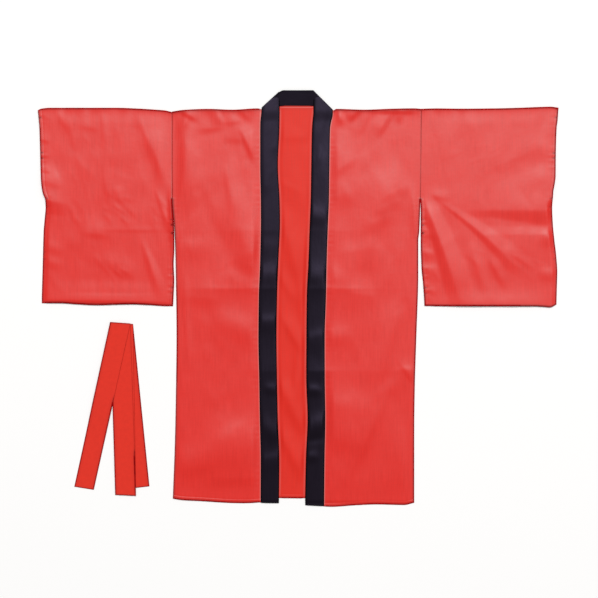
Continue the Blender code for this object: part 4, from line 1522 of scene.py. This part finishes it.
@dataclass(kw_only=True)
class Collar(Piece):
    """The collar: one strip folded double, sewn to both fronts and turned over at the neck points.

    The outer leaf lies on top along the fronts. At each neck point the doubled strip folds back
    on a slanting line and runs behind the neck, above the shoulders, with its inner leaf on top.
    """

    name: str = "collar"
    flat: Point = (0.094, 2.13)
    slot: str = "collar_satin"
    held: str = "folded"
    rests_on: tuple[str, ...] = ("front_right_cloth", "front_left_cloth")
    seam_corners: tuple[Point, Point] = ((-91.0, 474.0), (86.5, 471.0))
    fold_corners: tuple[Point, Point] = ((-46.5, 514.5), (38.5, 518.5))
    neck_seam: Edge = Edge((-91.0, -46.0, -36.0, 30.0, 37.0, 86.5), (474, 480, 481, 481, 480.5, 471))
    neck_fold: Edge = Edge((-46.5, -43.0, -36.0, 30.0, 35.0, 38.5), (514.5, 517, 519, 519, 519, 518.5))
    relief: Relief = Relief(COLLAR_FOLDS, puff=0.7, sway=0.12, phase=0.9)
    crown: float = 0.55  # of the outer leaf along its middle
    width: float = 47.0
    leg: float = 980.0  # nominal length of the strip along one front
    behind: float = 86.0  # and behind the neck
    neck: Point = (440.0, 470.0)  # where it starts to bend out to the neck points, and lies a layer higher
    step: float = 3.0
    short_of_seam: float = 0.22  # share of the width that the hidden leaf lacks at the seam

    def down_leg(self, edge: Edge, corner: Point, share: Array) -> Array:
        """One edge [n, xy] of the strip along a front, at these shares of the way up to the neck.

        Args:
            edge: The edge, x at a y.
            corner: Its upper end, at the neck point.
            share: Shares of the way, 0 at the hem.

        Returns:
            Places [n, xy].
        """
        foot = COLLAR_FOOT.at(edge.at(FOOT_Y))
        y = foot + (corner[1] - foot) * share
        bend = smooth_step(y, self.neck[0], corner[1])
        return np.stack([edge.at(y) * (1 - bend) + corner[0] * bend, y], axis=-1)

    def guides(self) -> tuple[Array, Array, Array]:
        """The seam edge and the free edge of the strip, station by station from hem to hem.

        Returns:
            Seam edge [j, xy], free edge [j, xy] and the turn of the strip at each neck fold, which
            is 0 on the right front, 180 degrees behind the neck and 360 on the left front.
        """
        leg = stations(self.leg, self.step, HEM_MARKS, [0.0, 3.0])
        behind = stations(self.behind, 4.0, [0.0, 3.0], [0.0, 3.0])
        arc = np.radians(np.arange(22.5, 180.0, 22.5))
        edges = []
        for right, neck, left, (first, last) in (
            (RIGHT_SEAM, self.neck_seam, LEFT_SEAM, self.seam_corners),
            (RIGHT_FOLD, self.neck_fold, LEFT_FOLD, self.fold_corners),
        ):
            x = first[0] + (last[0] - first[0]) * behind
            stays = [np.repeat([corner], len(arc), axis=0) for corner in (first, last)]
            across = np.stack([x, neck.at(x)], axis=-1)
            legs = (self.down_leg(right, first, leg), self.down_leg(left, last, leg[::-1]))
            edges.append(np.concatenate([legs[0], stays[0], across, stays[1], legs[1]]))
        ends = (np.zeros(len(leg)), np.full(len(leg), 2 * math.pi))
        turn = np.concatenate([ends[0], arc, np.full(len(behind), math.pi), math.pi + arc, ends[1]])
        return edges[0], edges[1], turn

    def leaves(self) -> tuple[Array, Array]:
        """Shares from seam to fold and turning angles across the doubled strip.

        Returns:
            Shares of the width, and angles: 90 degrees on the outer leaf, -90 on the inner one.
        """
        outer = stations(self.width, self.step, [0.0, 0.3, 0.8, 2.0], [0.0, 1.5])
        inner = stations(self.width, 7.0, [0.0, EDGE_WIDTH], [0.0, 1.0, EDGE_WIDTH, 4.0])[::-1]
        arc = np.linspace(60.0, -60.0, 5)
        share = np.concatenate([outer, np.ones(len(arc)), inner])
        turn = np.concatenate([np.full(len(outer), 90.0), arc, np.full(len(inner), -90.0)])
        return share[:, None], np.radians(turn)[:, None]

    def cloth(self) -> Cloth:
        """The strip as it lies.

        Returns:
            The cloth's middle surface, its place in the weave and its rims.
        """
        seam, fold, neck_turn = self.guides()
        share, leaf_turn = self.leaves()
        neck_turn = neck_turn[None, :]
        behind = (1 - np.cos(neck_turn)) / 2
        in_front = (1 + np.cos(neck_turn)) / 2
        outer_leaf = (1 + np.sin(leaf_turn)) / 2
        short = self.short_of_seam * (outer_leaf * behind + (1 - outer_leaf) * (1 - behind))
        placed = short + (1 - short) * share
        plan = seam[None] * (1 - placed[..., None]) + fold[None] * placed[..., None]
        rounded = TURN_RADIUS * (1 - np.cos(leaf_turn)) * (share > 0.999)
        plan = plan + unit(seam - fold)[None] * (rounded + TURN_RADIUS * (share <= 0.999) * share)[..., None]
        x, y = plan[..., 0], plan[..., 1]

        # Levels of the two leaves, in layers: one above the other on the fronts, turned over behind.
        on_front = 1.0 + smooth_step(y, *self.neck) + outer_leaf
        turned_over = 1.0 - outer_leaf
        reach = (on_front - turned_over) / 2
        level = (on_front + turned_over) / 2 + reach * np.cos(neck_turn)
        crown = self.crown * (1 - (2 * placed - 1) ** 2) * outer_leaf * in_front
        sewn = 0.62 * ((1 - quarter_round(share * self.width, 1.4)) * outer_leaf * in_front)
        from_fold = self.width * (1 - placed)
        settled = smooth_step(self.width * placed, 0.0, 9.0) * smooth_step(from_fold, -1.0, 5.0)
        relief = self.relief.height(x, y, 1.0) * outer_leaf * settled
        neck_roll = 6.0 * placed * behind * (1 - outer_leaf)
        on_coat = (packet_lift(x, y) - hem_drop(x, y) + relief) * (1 - behind)
        z = SATIN_THICKNESS / 2 + LAYER * level + on_coat + crown - sewn + neck_roll

        # The strip bulges outwards round each slanting fold.
        slant = fold - seam
        outward = unit(np.stack([-slant[:, 1], slant[:, 0]], axis=-1))
        bulge = LAYER * reach * np.abs(np.sin(neck_turn))
        x = x + bulge * outward[None, :, 0]
        y = y + bulge * outward[None, :, 1]

        length = run_of((seam + fold) / 2)
        across = np.where(outer_leaf > 0.5, self.width * placed, 2 * self.width - self.width * placed)
        thread = np.stack([across, np.broadcast_to(length[None], x.shape)], axis=-1)
        # Painted shade along the fold, the seam, the ends and round the slanting folds at the neck points.
        by_seam = near(self.width * placed, 2.4)
        by_end = near(np.minimum(length, length[-1] - length)[None], 1.5)
        rim = Rim.TURNED.value * np.maximum(np.maximum(near(from_fold, HEM_RIM), by_seam), by_end)
        rim = np.maximum(rim, 0.8 * np.abs(np.sin(neck_turn)))
        return Cloth(np.stack([x, y, z], axis=-1), thread, rim)


@dataclass(kw_only=True)
class Belt(Piece):
    """The belt: one strip folded to and fro into four runs that lie on each other."""

    name: str = "belt"
    flat: Point = (0.05, 1.69)
    slot: str = "belt_cloth"
    held: str = "folded"
    head_outer: tuple[Point, Point] = ((-463.3, -62.2), (-412.8, -65.4))
    head_inner: tuple[Point, Point] = ((-469.3, -60.4), (-419.2, -63.9))
    fold_foot: tuple[Point, Point] = ((-456.5, -490.2), (-405.5, -492.8))
    loose_low: tuple[Point, Point] = ((-421.0, -475.6), (-372.0, -469.9))
    loose_top: tuple[Point, Point] = ((-559.0, -470.9), (-511.0, -478.6))
    drop: Point = (0.42, 0.75)  # where along the top run comes down to the floor
    parted: tuple[float, ...] = (0.0, 0.74, 0.74, 0.44)  # how far down each run's edge lies on another run
    thickness: float = 0.9  # two thicknesses of broadcloth, sewn and pressed
    width: float = 50.0
    run: float = 430.0  # nominal length of a run
    step: float = 4.0

    def lines(self) -> tuple[Array, Array]:
        """The belt's two edges, station by station along its four runs and the turns between them.

        Returns:
            Edges [j, side, xyz], and how much each station's right edge lies on another run,
            which is 0.5 at the turns.
        """
        runs = (
            (self.head_outer, self.loose_low),
            (self.head_outer, self.fold_foot),
            (self.head_inner, self.fold_foot),
            (self.head_inner, self.loose_top),
        )
        top = len(runs) - 1
        share = stations(self.run, self.step, [0.0, 1.3, 3.0], [0.0, 1.3, 3.0])
        lines, covers = [], []
        for number, (head, foot) in enumerate(runs):
            climbs = number % 2 == 0
            down = 1 - share if climbs else share
            head, foot = np.array(head), np.array(foot)
            ends = head[None] * (1 - down[:, None, None]) + foot[None] * down[:, None, None]
            level = np.full(len(down), number * LAYER)
            if number == top:
                level = level * (1 - smooth_step(down, *self.drop))
            if number >= 2:
                sway = 1 + uneven_wave(self.run * down, 120.0, 0.7 * number)
                level = level + 0.18 * sway * np.sin(math.pi * down)
            lines.append(np.concatenate([ends, np.repeat(level[:, None, None], 2, axis=1)], axis=2))
            parted = self.parted[number]
            covers.append(1 - smooth_step(down, parted - 0.03, parted + 0.03))
            if number == top:
                break
            last = lines[-1][-1]
            side = last[1] - last[0]
            outward = np.array([-side[1], side[0], 0]) / np.hypot(side[0], side[1])
            outward = outward if climbs else -outward
            for turn in np.radians([30, 60, 90, 120, 150]):
                bulge = outward * TURN_RADIUS * math.sin(turn)
                rise = np.array([0, 0, TURN_RADIUS * (1 - math.cos(turn))])
                lines.append((last + bulge + rise)[None])
            covers.append(np.full(5, 0.5))
        return np.concatenate(lines), np.concatenate(covers)

    def cloth(self) -> Cloth:
        """The folded belt as it lies.

        Returns:
            The cloth's middle surface, its place in the weave and its rims.
        """
        edges, cover = self.lines()
        marks = [0.0, 0.5, 2.2, 4.0]
        across = stations(self.width, 5.0, marks, marks)[:, None]
        centre = edges[None, :, 0] * (1 - across[..., None]) + edges[None, :, 1] * across[..., None]
        centre[..., 2] += self.thickness / 2
        length = run_of(edges.mean(axis=1))
        thread = np.stack(np.broadcast_arrays(self.width * across, length[None]), axis=-1)
        # Painted shade along the edges, less where an edge lies on another run, and at the ends and turns.
        by_left = near(self.width * across, 2.8)
        by_right = near(self.width * (1 - across), 2.8) * (1 - 0.92 * cover)
        turns = length[np.abs(cover - 0.5) < 0.001]
        to_turn = np.min(np.abs(length[:, None] - turns[None]), axis=1)
        to_end = np.minimum(length, length[-1] - length)
        by_end = near(np.minimum(to_end, to_turn)[None], 1.8)
        rim = 0.8 * np.maximum(np.maximum(by_left, by_right), by_end)
        return Cloth(centre, thread, rim, self.thickness)


# ---- Studio


@dataclass(frozen=True)
class Softbox:
    """A large rectangular light, aimed at the middle of the coat."""

    name: str
    place: tuple[float, float, float]  # metres
    size: Point
    power: float

    def build(self) -> None:
        """Adds the light."""
        data = bpy.data.lights.new(self.name, "AREA")
        data.shape = "RECTANGLE"
        data.size, data.size_y = self.size
        data.energy = self.power
        lamp = bpy.data.objects.new(self.name, data)
        lamp.location = self.place
        direction = -np.array(self.place)
        level = math.hypot(direction[0], direction[1])
        lamp.rotation_euler = (math.atan2(level, -direction[2]), 0, math.atan2(-direction[0], direction[1]))
        bpy.context.scene.collection.objects.link(lamp)


@dataclass(frozen=True)
class Studio:
    """The white floor, the soft lights and the camera straight above."""

    view_width: float = 1.495  # metres of floor across the picture
    view_centre: Point = (0.00225, -0.0019)
    camera_height: float = 3.4
    sensor: float = 36.0
    ambient: float = 0.32
    floor_size: float = 90.0
    softboxes: tuple[Softbox, ...] = (
        Softbox("top_softbox", (0.6, 9.3, 17.5), (6.0, 4.8), 2990.0),
        Softbox("side_softbox", (9.0, 3.0, 17.5), (4.8, 6.0), 420.0),
    )

    def lay_floor(self) -> None:
        """Adds the sheet of background paper."""
        half = self.floor_size / 2
        mesh = bpy.data.meshes.new("floor")
        corners = [(-half, -half, 0), (half, -half, 0), (half, half, 0), (-half, half, 0)]
        mesh.from_pydata(corners, [], [(0, 1, 2, 3)])
        mesh.materials.append(StudioPaper().material())
        floor = bpy.data.objects.new("floor", mesh)
        bpy.context.scene.collection.objects.link(floor)

    def light(self) -> None:
        """Adds the even light from all round and the softboxes."""
        world = bpy.data.worlds.new("studio")
        world.use_nodes = True
        background = world.node_tree.nodes["Background"]
        background.inputs["Color"].default_value = (1, 1, 1, 1)
        background.inputs["Strength"].default_value = self.ambient
        bpy.context.scene.world = world
        for softbox in self.softboxes:
            softbox.build()

    def set_camera(self) -> None:
        """Adds the camera, straight above the coat."""
        data = bpy.data.cameras.new("above")
        data.sensor_width = self.sensor
        data.lens = self.sensor * self.camera_height / self.view_width
        camera = bpy.data.objects.new("above", data)
        camera.location = (*self.view_centre, self.camera_height)
        bpy.context.scene.collection.objects.link(camera)
        bpy.context.scene.camera = camera
        bpy.context.scene.view_settings.view_transform = "Standard"

    def build(self) -> None:
        """Adds floor, world, lights and camera."""
        self.lay_floor()
        self.light()
        self.set_camera()


# ---- The whole


def red_pieces() -> list[Piece]:
    """The coat's red satin pieces, lowest first.

    Returns:
        The pieces.
    """
    fronts = (
        Front(
            name="front_right",
            side=Side.RIGHT,
            outer=RIGHT_SIDE,
            seam=RIGHT_SEAM,
            hem=FRONT_RIGHT_HEM,
            relief=Relief(FRONT_RIGHT_FOLDS, puff=1.5, sway=0.2, phase=0.2),
            flat=(0.235, 0.99),
        ),
        Front(
            name="front_left",
            side=Side.LEFT,
            outer=LEFT_SIDE,
            seam=LEFT_SEAM,
            hem=FRONT_LEFT_HEM,
            relief=Relief(FRONT_LEFT_FOLDS, puff=1.5, sway=0.2, phase=1.4),
            flat=(0.24, 0.99),
        ),
    )
    sleeves = (
        Sleeve(
            name="sleeve_right",
            side=Side.RIGHT,
            body=Edge(
                (473, 250, 210, 165, 125, 85, 45, 5, -19),
                (-314.8, -314.8, -312.5, -309.8, -309.5, -311.3, -309.8, -311.5, -312.8),
            ),
            wrist=Edge(
                (472, 450, 425, 385, 320, 285, 265, 245, 225, 205, 165, 85, 5),
                (
                    -650, -648, -645.8, -644.5, -642.8, -640.8, -637.3,
                    -631, -630.8, -632.5, -635.8, -638, -640.3,
                ),
            ),
            fold=Edge(
                (-650, -641.5, -620, -455, -395, -355, -335, -315),
                (469.4, 473.4, 475.6, 475.6, 473.4, 470.9, 469.4, 465.2),
            ),
            foot=Edge(
                (-640, -595, -555, -505, -415, -375, -328, -313),
                (-12.1, -12.1, -14.6, -17.1, -14.9, -16.6, -19.6, -19.4),
            ),
            relief=Relief(SLEEVE_RIGHT_FOLDS, puff=2.2, phase=2.6),
            stand=3.6,
        ),
        Sleeve(
            name="sleeve_left",
            side=Side.LEFT,
            body=Edge(
                (473, 250, 215, 133, 85, 65, 45, 5, -17),
                (308.1, 305.7, 306.8, 307.0, 308.3, 309.5, 311.8, 314.8, 316.0),
            ),
            wrist=Edge(
                (476, 445, 425, 365, 305, 285, 265, 225, 185, 145, 105, 65, 25, -15),
                (650, 647.8, 645.3, 643.3, 642.5, 640, 636.5, 634.8, 636.5, 640.3, 645, 647.5, 646.5, 645.5),
            ),
            fold=Edge(
                (308, 340, 410, 490, 550, 610, 630, 650),
                (473.2, 474.1, 473.4, 474.1, 475.6, 477.9, 478.4, 475.9),
            ),
            foot=Edge(
                (315, 360, 500, 590, 610, 630, 645.5),
                (-18.9, -19.6, -19.9, -19.9, -20.9, -22.4, -15.6),
            ),
            relief=Relief(SLEEVE_LEFT_FOLDS, puff=2.4, phase=3.7),
        ),
    )
    return [Back(), *fronts, *sleeves]


def write_sizes() -> None:
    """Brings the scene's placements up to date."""
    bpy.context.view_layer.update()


def main() -> None:
    """Builds every piece in order and reports it."""
    logging.basicConfig(level=logging.INFO, format="%(message)s")
    Studio().build()
    red_edge = RED_EDGE.material()
    red = Dressing(RED_SATIN.material(), RED_REVERSE.material(), red_edge, RED_THREAD.material())
    made = [piece.build(red) for piece in red_pieces()]
    black = BLACK_SATIN.material()
    made.append(Collar().build(Dressing(black, black, BLACK_EDGE.material())))
    broadcloth = RED_BROADCLOTH.material()
    made.append(Belt().build(Dressing(broadcloth, broadcloth, red_edge)))
    for item in made:
        log.info("%s: %d faces", item.name, len(item.data.polygons))
    write_sizes()


if __name__ == "__main__":
    main()
